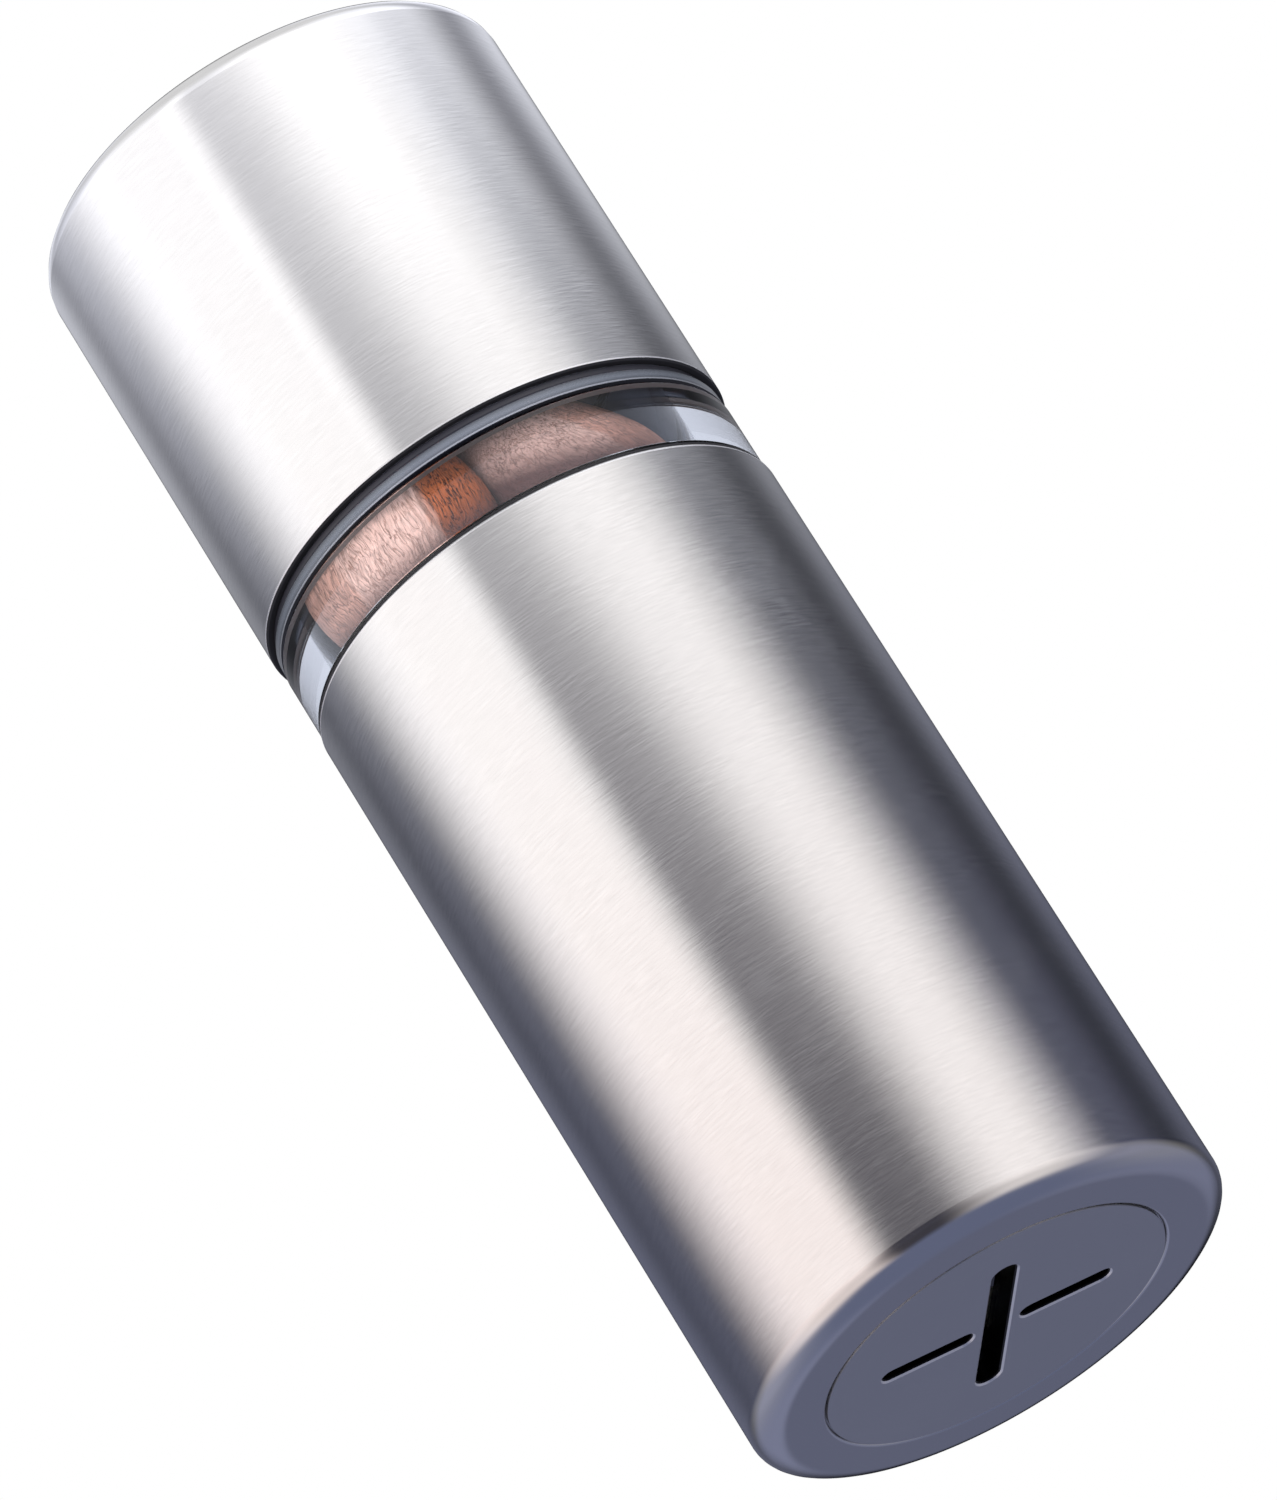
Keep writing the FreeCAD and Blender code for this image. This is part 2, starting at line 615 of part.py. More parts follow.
def plug_ring():
    """The plastic ring that plugs into the body and lets the head turn in it."""
    groove = "shell_bore - 2 * seal_section - 2 * seat_gap"
    groove_low = "plug_seal_level - seal_section - seat_gap"
    groove_high = "plug_seal_level + seal_section + seat_gap"
    skirt_bore = "hub_radius + slide_gap"
    lip = "mill_radius - plug_flange_inset"
    body = turned("plug_ring", (
        ("plug_bore", "plug_ledge"), (skirt_bore, "plug_ledge"), (skirt_bore, "plug_low"),
        ("plug_outside", "plug_low"), ("plug_outside", groove_low), (groove, groove_low),
        (groove, groove_high), ("plug_outside", groove_high), ("plug_outside", "body_height"),
        (lip, "body_height"), (lip, "plug_top"), ("plug_bore", "plug_top")))
    sketch = new_sketch(body, "XZ_Plane")
    key_low = "plug_low - key_height"
    key_high = "plug_low + key_height / 2"
    add_outline(sketch, (
        (skirt_bore, key_low), ("plug_outside", key_low),
        ("plug_outside", key_high), (skirt_bore, key_high)))
    repeat_round(body, [revolve(body, sketch, angle="key_angle")], "2")


def glide_washer():
    """The thin washer between the plug ring and the clear band that turns on it."""
    rim = "mill_radius - plug_flange_inset"
    turned("glide_washer", (
        ("plug_bore", "plug_top"), (rim, "plug_top"),
        (rim, "washer_top"), ("plug_bore", "washer_top")))


# ---------------------------------------------------------------- head that turns

def storage_tube():
    """The clear tube that holds the spare nutmegs: a lower neck, the window band, an upper neck."""
    groove = "cap_liner_bore - 2 * grip_section - 2 * seat_gap"
    groove_low = "grip_level - grip_section - seat_gap"
    groove_high = "grip_level + grip_section + seat_gap"
    turned("storage_tube", (
        ("storage_bore", "neck_low"), ("neck_outside", "neck_low"),
        ("neck_outside", "window_low"), ("window_radius - window_bevel", "window_low"),
        ("window_radius", "window_low + window_bevel"),
        ("window_radius", "window_top - window_bevel"),
        ("window_radius - window_bevel", "window_top"), ("step_radius", "window_top"),
        ("step_radius", "collar_low"), ("neck_outside", "collar_low"),
        ("neck_outside", groove_low), (groove, groove_low), (groove, groove_high),
        ("neck_outside", groove_high), ("neck_outside", "neck_top"),
        ("storage_bore", "neck_top")))


def collar_ring():
    """The clear collar between the window band and the cap's seal."""
    bore = "neck_outside + seat_gap"
    rim = "mill_radius - collar_inset"
    turned("collar_ring", (
        (bore, "collar_low"), (f"{rim} - window_bevel", "collar_low"),
        (rim, "collar_low + window_bevel"), (rim, "collar_top - window_bevel"),
        (f"{rim} - window_bevel", "collar_top"), (bore, "collar_top")))


def cap_seal():
    """The flat rubber ring that the cap closes on."""
    bore = "neck_outside + seat_gap"
    rim = "mill_radius - seal_inset"
    turned("cap_seal", (
        (bore, "collar_top"), (rim, "collar_top"),
        (rim, "cap_base - seat_gap"), (bore, "cap_base - seat_gap")))


def drive_hub():
    """The plastic floor of the storage tube, which joins it to the drive tube."""
    disc = "storage_bore - seat_gap"
    body = turned("drive_hub", (
        ("0", "hub_low"), ("hub_radius", "hub_low"), ("hub_radius", "neck_low"),
        (disc, "neck_low"), (disc, "storage_floor"), ("0", "storage_floor")))
    drill_ring(body, "screw_radius + seat_gap", "hub_screw_circle", "hub_screw_count",
               "hub_low", "hub_screw_bite + seat_gap", upward=True)


def drive_tube():
    """The tube that turns the pusher and the nutmeg in it, with two slots for the pusher's lugs."""
    body = turned("drive_tube", (
        ("tube_bore", "tube_low"), ("tube_outside", "tube_low"),
        ("tube_outside", "tube_flange_low"), ("tube_flange", "tube_flange_low"),
        ("tube_flange", "hub_low"), ("tube_bore", "hub_low")))
    sketch = new_sketch(body, "YZ_Plane")
    half = "lug_slot_width / 2"
    slot_top = "lug_slot_low + lug_slot_length"
    add_outline(sketch, (
        (f"0 - {half}", "lug_slot_low"), (half, "lug_slot_low"),
        (half, slot_top), (f"0 - {half}", slot_top)))
    cut_through(body, sketch)
    drill_ring(body, "screw_radius + seat_gap", "hub_screw_circle", "hub_screw_count",
               "tube_flange_low", "tube_flange_thick", upward=True)


def hub_screws():
    """The screws that hold the drive tube's flange under the hub."""
    body = new_body("hub_screws")
    screw = turned_screw(body, "hub_screw_circle", "hub_low + hub_screw_bite",
                         "tube_flange_low", "tube_flange_low - screw_head_thick")
    repeat_round(body, [screw], "hub_screw_count")


def spring_seat():
    """The disc under the hub that holds the pusher spring's upper end."""
    rim = "tube_bore - seat_gap"
    under = "hub_low - seat_thick"
    turned("spring_seat", (
        ("0", f"{under} - spigot_height"), ("spigot_radius", f"{under} - spigot_height"),
        ("spigot_radius", under), (rim, under), (rim, "hub_low"), ("0", "hub_low")))


def pusher_spring():
    """The wire spring that presses the pusher down."""
    body = new_body("pusher_spring")
    sketch = new_sketch(body, "XZ_Plane")
    add_circle(sketch, "coil_radius", "spring_low + wire_radius", "wire_radius")
    coil = body.newObject("PartDesign::AdditiveHelix", "pusher_spring_coil")
    coil.Profile = sketch
    coil.ReferenceAxis = (sketch, ["V_Axis"])
    coil.Mode = "height-turns-angle"
    bind(coil, "Height", "spring_top - spring_low - 2 * wire_radius")
    bind(coil, "Turns", "coil_turns")
    DOC.recompute()


def stored_nutmeg(number, lean="0", lean_side="0"):
    """A spare nutmeg that stands or leans in the storage tube."""
    name = f"nutmeg_{number}"
    half = f"nutmeg_{number}_half"
    heading = f"nutmeg_{number}_angle"
    reach = f"(storage_bore - nutmeg_radius - nutmeg_{number}_gap)"
    solid = DOC.addObject("Part::Ellipsoid", name)
    solid.Label = name
    bind(solid, "Radius1", half)
    bind(solid, "Radius2", "nutmeg_radius")
    bind(solid, "Radius3", "nutmeg_radius")
    side = math.radians(value(lean_side))
    hinge = FreeCAD.Vector(-math.sin(side), math.cos(side), 0)
    turn = FreeCAD.Rotation(hinge, value(lean))
    solid.Placement = FreeCAD.Placement(FreeCAD.Vector(), turn)
    if lean != "0":
        bind(solid, "Placement.Rotation.Angle", lean)
    rise = f"sqrt(({half} * cos({lean})) ^ 2 + (nutmeg_radius * sin({lean})) ^ 2)"
    bind(solid, "Placement.Base.x", f"{reach} * cos({heading})")
    bind(solid, "Placement.Base.y", f"{reach} * sin({heading})")
    bind(solid, "Placement.Base.z", f"storage_floor + seat_gap + {rise}")
    PARTS.append(solid)


def pusher():
    """The disc that presses the nutmeg on the blades, driven by its two lugs."""
    rim = "tube_bore - slide_gap"
    body = turned("pusher", (
        ("0", "pusher_low"), (rim, "pusher_low"), (rim, "pusher_top"),
        ("spigot_radius", "pusher_top"), ("spigot_radius", "pusher_top + spigot_height"),
        ("0", "pusher_top + spigot_height")))
    sketch = new_sketch(body, "XY_Plane", "pusher_low")
    reach = f"({rim} + pusher_lug)"
    half = "(lug_slot_width - slide_gap) / 2"
    add_outline(sketch, (
        (f"0 - {reach}", f"0 - {half}"), (reach, f"0 - {half}"),
        (reach, half), (f"0 - {reach}", half)))
    pad(body, sketch, "pusher_thick")
    drill_ring(body, "spike_radius + seat_gap", "spike_ring_radius", "spike_count",
               "pusher_low", "spike_shank + seat_gap", upward=True)


def pusher_spikes():
    """The short steel points that grip the nutmeg, pressed into the pusher."""
    body = new_body("pusher_spikes")
    sketch = new_sketch(body, "XZ_Plane")
    tip = "pusher_low - spike_length"
    end = "pusher_low + spike_shank"
    side = "spike_ring_radius + spike_radius"
    add_outline(sketch, (
        ("spike_ring_radius", tip), (side, "pusher_low"), (side, end), ("spike_ring_radius", end)))
    spike = revolve_in_place(body, sketch, "spike_ring_radius", tip, end)
    repeat_round(body, [spike], "spike_count")


# ---------------------------------------------------------------- cap

def cap_shell():
    """The upper steel shell: a tube closed by a flat top with a rounded edge."""
    ceiling = "mill_height - steel_wall"
    body = turned("cap_shell", (
        ("0", ceiling), ("shell_bore", ceiling), ("shell_bore", "cap_base"),
        ("mill_radius - rim_bevel", "cap_base"), ("mill_radius", "cap_base + rim_bevel"),
        ("mill_radius", "mill_height"), ("0", "mill_height")))
    round_edges(body, [("mill_radius", "mill_height")], "edge_round")
    round_edges(body, [("shell_bore", ceiling)], "inner_round")


def cap_liner():
    """The plastic cup inside the cap that slides over the storage tube's upper neck."""
    ceiling = "cap_liner_top - cap_liner_roof"
    low = "cap_base + slide_gap"
    body = turned("cap_liner", (
        ("0", ceiling), ("cap_liner_bore", ceiling), ("cap_liner_bore", low),
        ("liner_outside", low), ("liner_outside", "cap_liner_top"), ("0", "cap_liner_top")))
    round_edges(body, [("liner_outside", "cap_liner_top")], "inner_round")


def build_all():
    """Make every sub-part."""
    body_sleeve()
    base_plate()
    cutter_plate()
    blades()
    blade_rivets()
    cutter_screws()
    chamber_liner()
    tube_bush()
    plug_ring()
    seal_ring("plug_seal", "shell_bore - seat_gap - seal_section", "seal_section", "plug_seal_level")
    glide_washer()
    storage_tube()
    collar_ring()
    cap_seal()
    seal_ring("grip_ring", "cap_liner_bore - seat_gap - grip_section", "grip_section", "grip_level")
    drive_hub()
    hub_screws()
    drive_tube()
    spring_seat()
    pusher_spring()
    stored_nutmeg(1)
    stored_nutmeg(2, "nutmeg_lean_angle", "nutmeg_lean_side_angle")
    stored_nutmeg(3)
    pusher()
    pusher_spikes()
    cap_shell()
    cap_liner()
    DOC.recompute()


def write_all():
    """Check every object and sub-part, then write one STEP file for each sub-part."""
    for item in DOC.Objects:
        if "Invalid" in item.State or "Error" in item.State:
            raise RuntimeError(f"{item.Label} failed: {item.State}")
    for part in PARTS:
        if part.Shape.isNull() or not part.Shape.isValid():
            raise RuntimeError(f"{part.Label}: no valid shape")
    os.makedirs("parts", exist_ok=True)
    for part in PARTS:
        part.Shape.exportStep(os.path.join("parts", f"{part.Label}.step"))
        print(f"{part.Label}: {len(part.Shape.Solids)} solid(s), {part.Shape.Volume:.1f} mm3")


build_all()
write_all()
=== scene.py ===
"""Looks of a twist mill for nutmegs: two brushed steel shells with a clear window between them.

Metres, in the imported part's frame: +Z runs up the mill's axis, and the base stands on z = 0.
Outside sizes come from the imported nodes' boxes. The classes' fields hold what the boxes don't say.
"""
from __future__ import annotations

import logging
import math
from collections.abc import Sequence
from dataclasses import dataclass
from enum import Enum
from functools import cached_property, partial, reduce

import bpy
import numpy as np
from mathutils import Matrix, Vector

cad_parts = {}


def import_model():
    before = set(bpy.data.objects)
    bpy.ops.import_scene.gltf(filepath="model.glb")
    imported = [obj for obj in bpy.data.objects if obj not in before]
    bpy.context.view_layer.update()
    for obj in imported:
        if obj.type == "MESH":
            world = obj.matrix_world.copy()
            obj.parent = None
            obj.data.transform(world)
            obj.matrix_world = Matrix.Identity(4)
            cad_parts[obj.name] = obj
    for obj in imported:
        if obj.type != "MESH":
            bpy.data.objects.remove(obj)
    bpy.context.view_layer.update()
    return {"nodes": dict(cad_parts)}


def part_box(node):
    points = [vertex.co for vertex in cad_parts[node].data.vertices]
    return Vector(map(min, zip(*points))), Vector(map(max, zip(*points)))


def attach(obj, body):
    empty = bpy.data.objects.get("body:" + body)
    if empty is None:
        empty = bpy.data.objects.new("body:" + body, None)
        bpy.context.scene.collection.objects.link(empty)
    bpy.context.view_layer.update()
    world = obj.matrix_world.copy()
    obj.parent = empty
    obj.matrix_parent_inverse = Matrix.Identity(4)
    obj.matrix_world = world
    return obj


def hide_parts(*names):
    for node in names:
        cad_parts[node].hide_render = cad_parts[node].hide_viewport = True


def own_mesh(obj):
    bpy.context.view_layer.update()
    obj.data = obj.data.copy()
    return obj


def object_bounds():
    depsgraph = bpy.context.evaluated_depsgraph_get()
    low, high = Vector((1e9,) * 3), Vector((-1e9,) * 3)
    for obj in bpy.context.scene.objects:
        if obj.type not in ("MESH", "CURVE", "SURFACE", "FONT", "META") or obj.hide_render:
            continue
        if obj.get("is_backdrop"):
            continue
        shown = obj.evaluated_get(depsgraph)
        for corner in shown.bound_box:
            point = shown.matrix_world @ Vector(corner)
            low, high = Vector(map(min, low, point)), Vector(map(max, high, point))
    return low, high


LOG = logging.getLogger("nutmeg_mill")

MM = 0.001
# Lengths under this count as nothing.
TINY = 1e-8
# Faces round the axis of a turned piece, and round the floor.
ROUND_STEPS = 360
FLOOR_STEPS = 160
# Steps in the rounding of one corner of an outline.
CORNER_STEPS = 5
# Inside radius of the storage tube.
STORAGE_BORE = 20.6 * MM

# How much longer or shorter than their mean random waves are.
WAVE_SPREAD = (0.75, 1.3)

Colour = tuple[float, float, float]
Point = tuple[float, float, float]
# A ramp's ends, and what it gives at each of them.
Ramp = tuple[float, float, float, float]
Piece = bpy.types.Object
Socket = bpy.types.NodeSocket
Sockets = dict[str, Socket]
Value = Socket | float | Sequence[float]


class Slot(Enum):
    """The material slots that the finishes belong to."""

    BRUSHED_STEEL = "brushed_steel"
    SATIN_STEEL = "satin_steel"
    BLADE_STEEL = "blade_steel"
    FASTENER_STEEL = "fastener_steel"
    SPRING_STEEL = "spring_steel"
    DARK_PLASTIC = "dark_plastic"
    GREY_PLASTIC = "grey_plastic"
    WHITE_PLASTIC = "white_plastic"
    BLACK_RUBBER = "black_rubber"
    CLEAR_ACRYLIC = "clear_acrylic"
    NUTMEG_SHELL = "nutmeg_shell"


class Body(Enum):
    """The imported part's bodies, which move against each other."""

    BODY = "body"
    PLUG = "plug"
    HEAD = "head"
    PUSHER = "pusher"
    CAP = "cap"


# ---------------------------------------------------------------- surfaces

@dataclass
class Surface:
    """Points with the four-sided and three-sided faces between them, and smooth normals if known."""

    points: np.ndarray
    quads: np.ndarray
    triangles: np.ndarray
    normals: np.ndarray | None = None

    def volume(self) -> float:
        """Enclosed volume: the sum of the tetrahedra that the faces' triangles span with the origin."""
        triangles = np.concatenate([self.quads[:, [0, 1, 2]], self.quads[:, [0, 2, 3]], self.triangles])
        first, second, third = (self.points[triangles[:, corner]] for corner in range(3))
        return float(np.einsum("ij,ij->", first, np.cross(second, third))) / 6

    def outward(self) -> Surface:
        """The same surface with its faces pointing away from what it encloses."""
        if self.volume() >= 0:
            return self
        return Surface(self.points, self.quads[:, ::-1], self.triangles[:, ::-1], self.normals)

    def piece(self, name: str, values: dict[str, np.ndarray] | None = None) -> Piece:
        """Make a smooth-shaded object of the surface.

        Args:
            name: name of the object and its mesh.
            values: a number or a vector for each point, kept in the mesh under their names.

        Returns:
            The object, at the origin and linked to the scene.
        """
        mesh = bpy.data.meshes.new(name)
        corners = np.concatenate([self.quads.ravel(), self.triangles.ravel()])
        quad_end = len(self.quads) * 4
        starts = np.concatenate([np.arange(0, quad_end, 4), np.arange(quad_end, len(corners), 3)])
        mesh.vertices.add(len(self.points))
        mesh.vertices.foreach_set("co", self.points.astype(np.float32).ravel())
        mesh.loops.add(len(corners))
        mesh.loops.foreach_set("vertex_index", corners.astype(np.int32))
        mesh.polygons.add(len(starts))
        mesh.polygons.foreach_set("loop_start", starts.astype(np.int32))
        mesh.update(calc_edges=True)
        mesh.shade_smooth()
        for key, numbers in (values or {}).items():
            kind, field_name = ("FLOAT", "value") if numbers.ndim == 1 else ("FLOAT_VECTOR", "vector")
            attribute = mesh.attributes.new(key, kind, "POINT")
            attribute.data.foreach_set(field_name, numbers.astype(np.float32).ravel())
        if self.normals is not None:
            mesh.normals_split_custom_set_from_vertices(self.normals)
        return placed(name, mesh)


def placed(name: str, data: bpy.types.ID) -> Piece:
    """A new object in the scene, at the origin."""
    made = bpy.data.objects.new(name, data)
    bpy.context.scene.collection.objects.link(made)
    return made


def grid_surface(grid: np.ndarray, closed: bool, normals: np.ndarray | None = None) -> Surface:
    """Join a grid of points into a surface that closes round its columns.

    The face (i, j) has the corners (i, j), (i, j + 1), (i + 1, j + 1) and (i + 1, j). A row whose
    points all coincide is a pole: it becomes one point, and the faces at it become triangles.

    Args:
        grid: points as an array of rows, columns and three coordinates.
        closed: whether the last row joins the first one.
        normals: one normal for each point of the grid.

    Returns:
        The surface, with its faces pointing outwards.
    """
    rows, columns = grid.shape[:2]
    index = np.arange(rows * columns).reshape(rows, columns)
    poles = np.ptp(grid, axis=1).max(axis=1) < TINY
    index[poles] = index[poles, :1]
    low = index if closed else index[:-1]
    high = np.roll(index, -1, axis=0) if closed else index[1:]
    faces = np.stack([low, np.roll(low, -1, axis=1), np.roll(high, -1, axis=1), high], axis=-1).reshape(-1, 4)
    low_pole = faces[:, 0] == faces[:, 1]
    high_pole = faces[:, 2] == faces[:, 3]
    quads = faces[~low_pole & ~high_pole]
    triangles = np.concatenate([faces[low_pole & ~high_pole][:, [0, 2, 3]],
                                faces[high_pole & ~low_pole][:, [0, 1, 2]]])
    used, places = np.unique(np.concatenate([quads.ravel(), triangles.ravel()]), return_inverse=True)
    quads = places[:quads.size].reshape(-1, 4)
    triangles = places[quads.size:].reshape(-1, 3)
    kept = None if normals is None else normals.reshape(-1, 3)[used]
    return Surface(grid.reshape(-1, 3)[used], quads, triangles, kept).outward()


def unit(vectors: np.ndarray) -> np.ndarray:
    """The vectors at length one; a vector of no length stays as it is."""
    length = np.linalg.norm(vectors, axis=-1, keepdims=True)
    return vectors / np.where(length < TINY, 1.0, length)


def rounded(corners: Sequence[Point]) -> np.ndarray:
    """Round each corner of a closed flat outline with an arc that touches both of its sides.

    With the angle a between the two sides at a corner, an arc of radius r touches them at r / tan(a / 2)
    from the corner, and its centre lies r / sin(a / 2) from the corner on the line that halves a. The
    arc's points turn from the one radius to the other in even steps.

    Args:
        corners: first and second coordinate and rounding radius of each corner.

    Returns:
        The outline's points, without repeated ones.
    """
    table = np.array(corners, float)
    spots, radius = table[:, :2], table[:, 2:]
    back = unit(np.roll(spots, 1, axis=0) - spots)
    ahead = unit(np.roll(spots, -1, axis=0) - spots)
    half = np.arccos(np.clip((back * ahead).sum(axis=1, keepdims=True), -1, 1)) / 2
    centre = spots + unit(back + ahead) * radius / np.sin(half)
    reach = radius / np.tan(half)
    start, end = spots + back * reach - centre, spots + ahead * reach - centre
    sweep = np.maximum(math.pi - 2 * half, TINY)[:, None, :]
    share = np.linspace(0, 1, CORNER_STEPS + 1)[None, :, None]
    arcs = np.sin((1 - share) * sweep) * start[:, None] + np.sin(share * sweep) * end[:, None]
    points = (centre[:, None] + arcs / np.sin(sweep)).reshape(-1, 2)
    fresh = np.linalg.norm(points - np.roll(points, 1, axis=0), axis=1) > TINY
    return points[fresh]


def turned(corners: Sequence[Point]) -> Surface:
    """Turn a closed outline about the mill's axis.

    A point of the outline at radius r and height z becomes the ring (r cos t, r sin t, z). Its normal is
    the mean of the normals of the outline's two sides there, weighted by their lengths, so that long
    straight sides stay straight in the light beside a small rounding.

    Args:
        corners: radius, height and rounding of the outline's corners.

    Returns:
        The turned surface.
    """
    outline = rounded(corners)
    following = np.roll(outline, -1, axis=0)
    step = following - outline
    on_axis = (outline[:, 0] < TINY) & (following[:, 0] < TINY)
    area = (outline[:, 0] * following[:, 1] - following[:, 0] * outline[:, 1]).sum()
    side = np.stack([step[:, 1], -step[:, 0]], axis=1) * np.sign(area)
    side[on_axis] = 0
    slope = unit(side + np.roll(side, 1, axis=0))
    slope[outline[:, 0] < TINY, 0] = 0
    angle = np.linspace(0, 2 * math.pi, ROUND_STEPS, endpoint=False)
    circle = np.stack([np.cos(angle), np.sin(angle)], axis=1)

    def ring(pairs: np.ndarray) -> np.ndarray:
        """Spread pairs of a radial and an upright number round the axis."""
        flat = pairs[:, None, :1] * circle[None]
        upright = np.broadcast_to(pairs[:, None, 1:], (len(pairs), ROUND_STEPS, 1))
        return np.concatenate([flat, upright], axis=2)

    return grid_surface(ring(outline), True, unit(ring(slope)))


def swept(path: np.ndarray, radius: np.ndarray, sides: int) -> Surface:
    """Carry a circle of changing radius along a path, closed at both ends.

    Each circle lies across the path's direction: its two axes are the level direction across the path,
    and the cross product of that with the path's direction.

    Args:
        path: points of the middle line.
        radius: the circle's radius at each point, zero at both ends.
        sides: points of the circle.

    Returns:
        The swept surface.
    """
    ahead = unit(np.gradient(path, axis=0))
    level = unit(np.cross(ahead, np.array([0.0, 0.0, 1.0])))
    upright = np.cross(level, ahead)
    angle = np.linspace(0, 2 * math.pi, sides, endpoint=False)[None, :, None]
    spoke = np.cos(angle) * level[:, None] + np.sin(angle) * upright[:, None]
    return grid_surface(path[:, None] + spoke * radius[:, None, None], False)


def ripples(points: np.ndarray, lengths: Point, count: int, seed: int) -> np.ndarray:
    """Smooth random waves: the sum of plane waves in random directions, with a spread of about one.

    Args:
        points: where the waves are worked out.
        lengths: the waves' mean length along each axis.
        count: number of plane waves.
        seed: seed of their directions and phases.

    Returns:
        One number for each point.
    """
    chance = np.random.default_rng(seed)
    directions = unit(chance.normal(size=(count, 3))) * chance.uniform(*WAVE_SPREAD, (count, 1))
    waves = directions * 2 * math.pi / np.array(lengths)
    phases = chance.uniform(0, 2 * math.pi, count)
    return np.cos(points @ waves.T + phases).sum(axis=1) * math.sqrt(2 / count)


def smooth_step(low: float, high: float, numbers: np.ndarray) -> np.ndarray:
    """Rise from 0 at low to 1 at high along 3 t^2 - 2 t^3."""
    share = np.clip((numbers - low) / (high - low), 0, 1)
    return share * share * (3 - 2 * share)


# ---------------------------------------------------------------- shader nodes

class Nodes:
    """Short calls that add nodes to the tree of a material, a world or a group."""

    def __init__(self, tree: bpy.types.NodeTree) -> None:
        """Work on a tree."""
        self.tree = tree

    @classmethod
    def fresh(cls, owner: bpy.types.Material | bpy.types.World) -> Nodes:
        """Work on the tree of a new material or world, which starts empty."""
        owner.use_nodes = True
        owner.node_tree.nodes.clear()
        return cls(owner.node_tree)

    def add(self, kind: str, inputs: dict[str | int, Value] | None = None,
            **settings: object) -> bpy.types.Node:
        """Add a node, with settings for the node itself and values or links for its inputs."""
        node = self.tree.nodes.new(kind)
        for key, setting in settings.items():
            setattr(node, key, setting)
        for key, value in (inputs or {}).items():
            self.feed(node.inputs[key], value)
        return node

    def feed(self, socket: Socket, value: Value) -> None:
        """Link an output to an input, or set the input to a plain value."""
        if isinstance(value, Socket):
            self.tree.links.new(value, socket)
        elif socket.type == "RGBA" and len(value) == 3:
            socket.default_value = (*value, 1.0)
        else:
            socket.default_value = value

    def maths(self, operation: str, first: Value, second: Value = 0.0, third: Value = 0.0) -> Socket:
        """One operation on two numbers, or on three."""
        return self.add("ShaderNodeMath", {0: first, 1: second, 2: third}, operation=operation).outputs[0]

    def times(self, first: Value, second: Value) -> Socket:
        """The product of two numbers."""
        return self.maths("MULTIPLY", first, second)

    def minus(self, first: Value, second: Value) -> Socket:
        """The first number less the second one."""
        return self.maths("SUBTRACT", first, second)

    def vector(self, operation: str, first: Value, second: Value = (0, 0, 0)) -> Socket:
        """One operation on two vectors; a dot product gives a number."""
        node = self.add("ShaderNodeVectorMath", {0: first, 1: second}, operation=operation)
        return node.outputs["Value" if operation in ("DOT_PRODUCT", "LENGTH") else "Vector"]

    def scaled(self, vector: Value, factor: Value) -> Socket:
        """A vector or colour times a number."""
        node = self.add("ShaderNodeVectorMath", {0: vector, "Scale": factor}, operation="SCALE")
        return node.outputs["Vector"]

    def spread(self, value: Value, low: float, high: float, start: float = 0.0, end: float = 1.0,
               smooth: bool = False) -> Socket:
        """Map the range from low to high on to start to end, held at both, evenly or smoothly."""
        kind = "SMOOTHSTEP" if smooth else "LINEAR"
        node = self.add("ShaderNodeMapRange", {0: value, 1: low, 2: high, 3: start, 4: end},
                        interpolation_type=kind)
        return node.outputs[0]

    def between(self, factor: Value, first: Value, second: Value) -> Socket:
        """A colour between two colours."""
        node = self.add("ShaderNodeMix", data_type="RGBA")
        for name, value in (("Factor_Float", factor), ("A_Color", first), ("B_Color", second)):
            self.feed(next(item for item in node.inputs if item.identifier == name), value)
        return next(item for item in node.outputs if item.identifier == "Result_Color")

    def noise(self, place: Value, detail: float = 2.0, roughness: float = 0.5,
              scale: float = 1.0) -> Socket:
        """Smooth noise from 0 to 1 at a place."""
        node = self.add("ShaderNodeTexNoise", {"Vector": place, "Scale": scale, "Detail": detail,
                                               "Roughness": roughness})
        return node.outputs[0]

    def place(self) -> Socket:
        """The point in the piece's own metres."""
        return self.add("ShaderNodeTexCoord").outputs["Object"]

    def parts(self, vector: Value) -> tuple[Socket, ...]:
        """The three numbers of a vector."""
        return tuple(self.add("ShaderNodeSeparateXYZ", {0: vector}).outputs)

    def joined(self, *parts: Value) -> Socket:
        """A vector of up to three numbers, with zero for those left out."""
        return self.add("ShaderNodeCombineXYZ", dict(enumerate(parts))).outputs[0]

    def bump(self, height: Value, distance: float) -> Socket:
        """A normal bent by a height of 0 to 1 that stands for a distance in metres."""
        return self.add("ShaderNodeBump", {"Distance": distance, "Height": height}).outputs["Normal"]

    def surface(self, inputs: dict[str, Value]) -> Socket:
        """A plain shader with values or links for its inputs."""
        return self.add("ShaderNodeBsdfPrincipled", inputs).outputs[0]

    def mixed(self, factor: Value, first: Socket, second: Socket) -> Socket:
        """A shader between two shaders."""
        return self.add("ShaderNodeMixShader", {0: factor, 1: first, 2: second}).outputs[0]


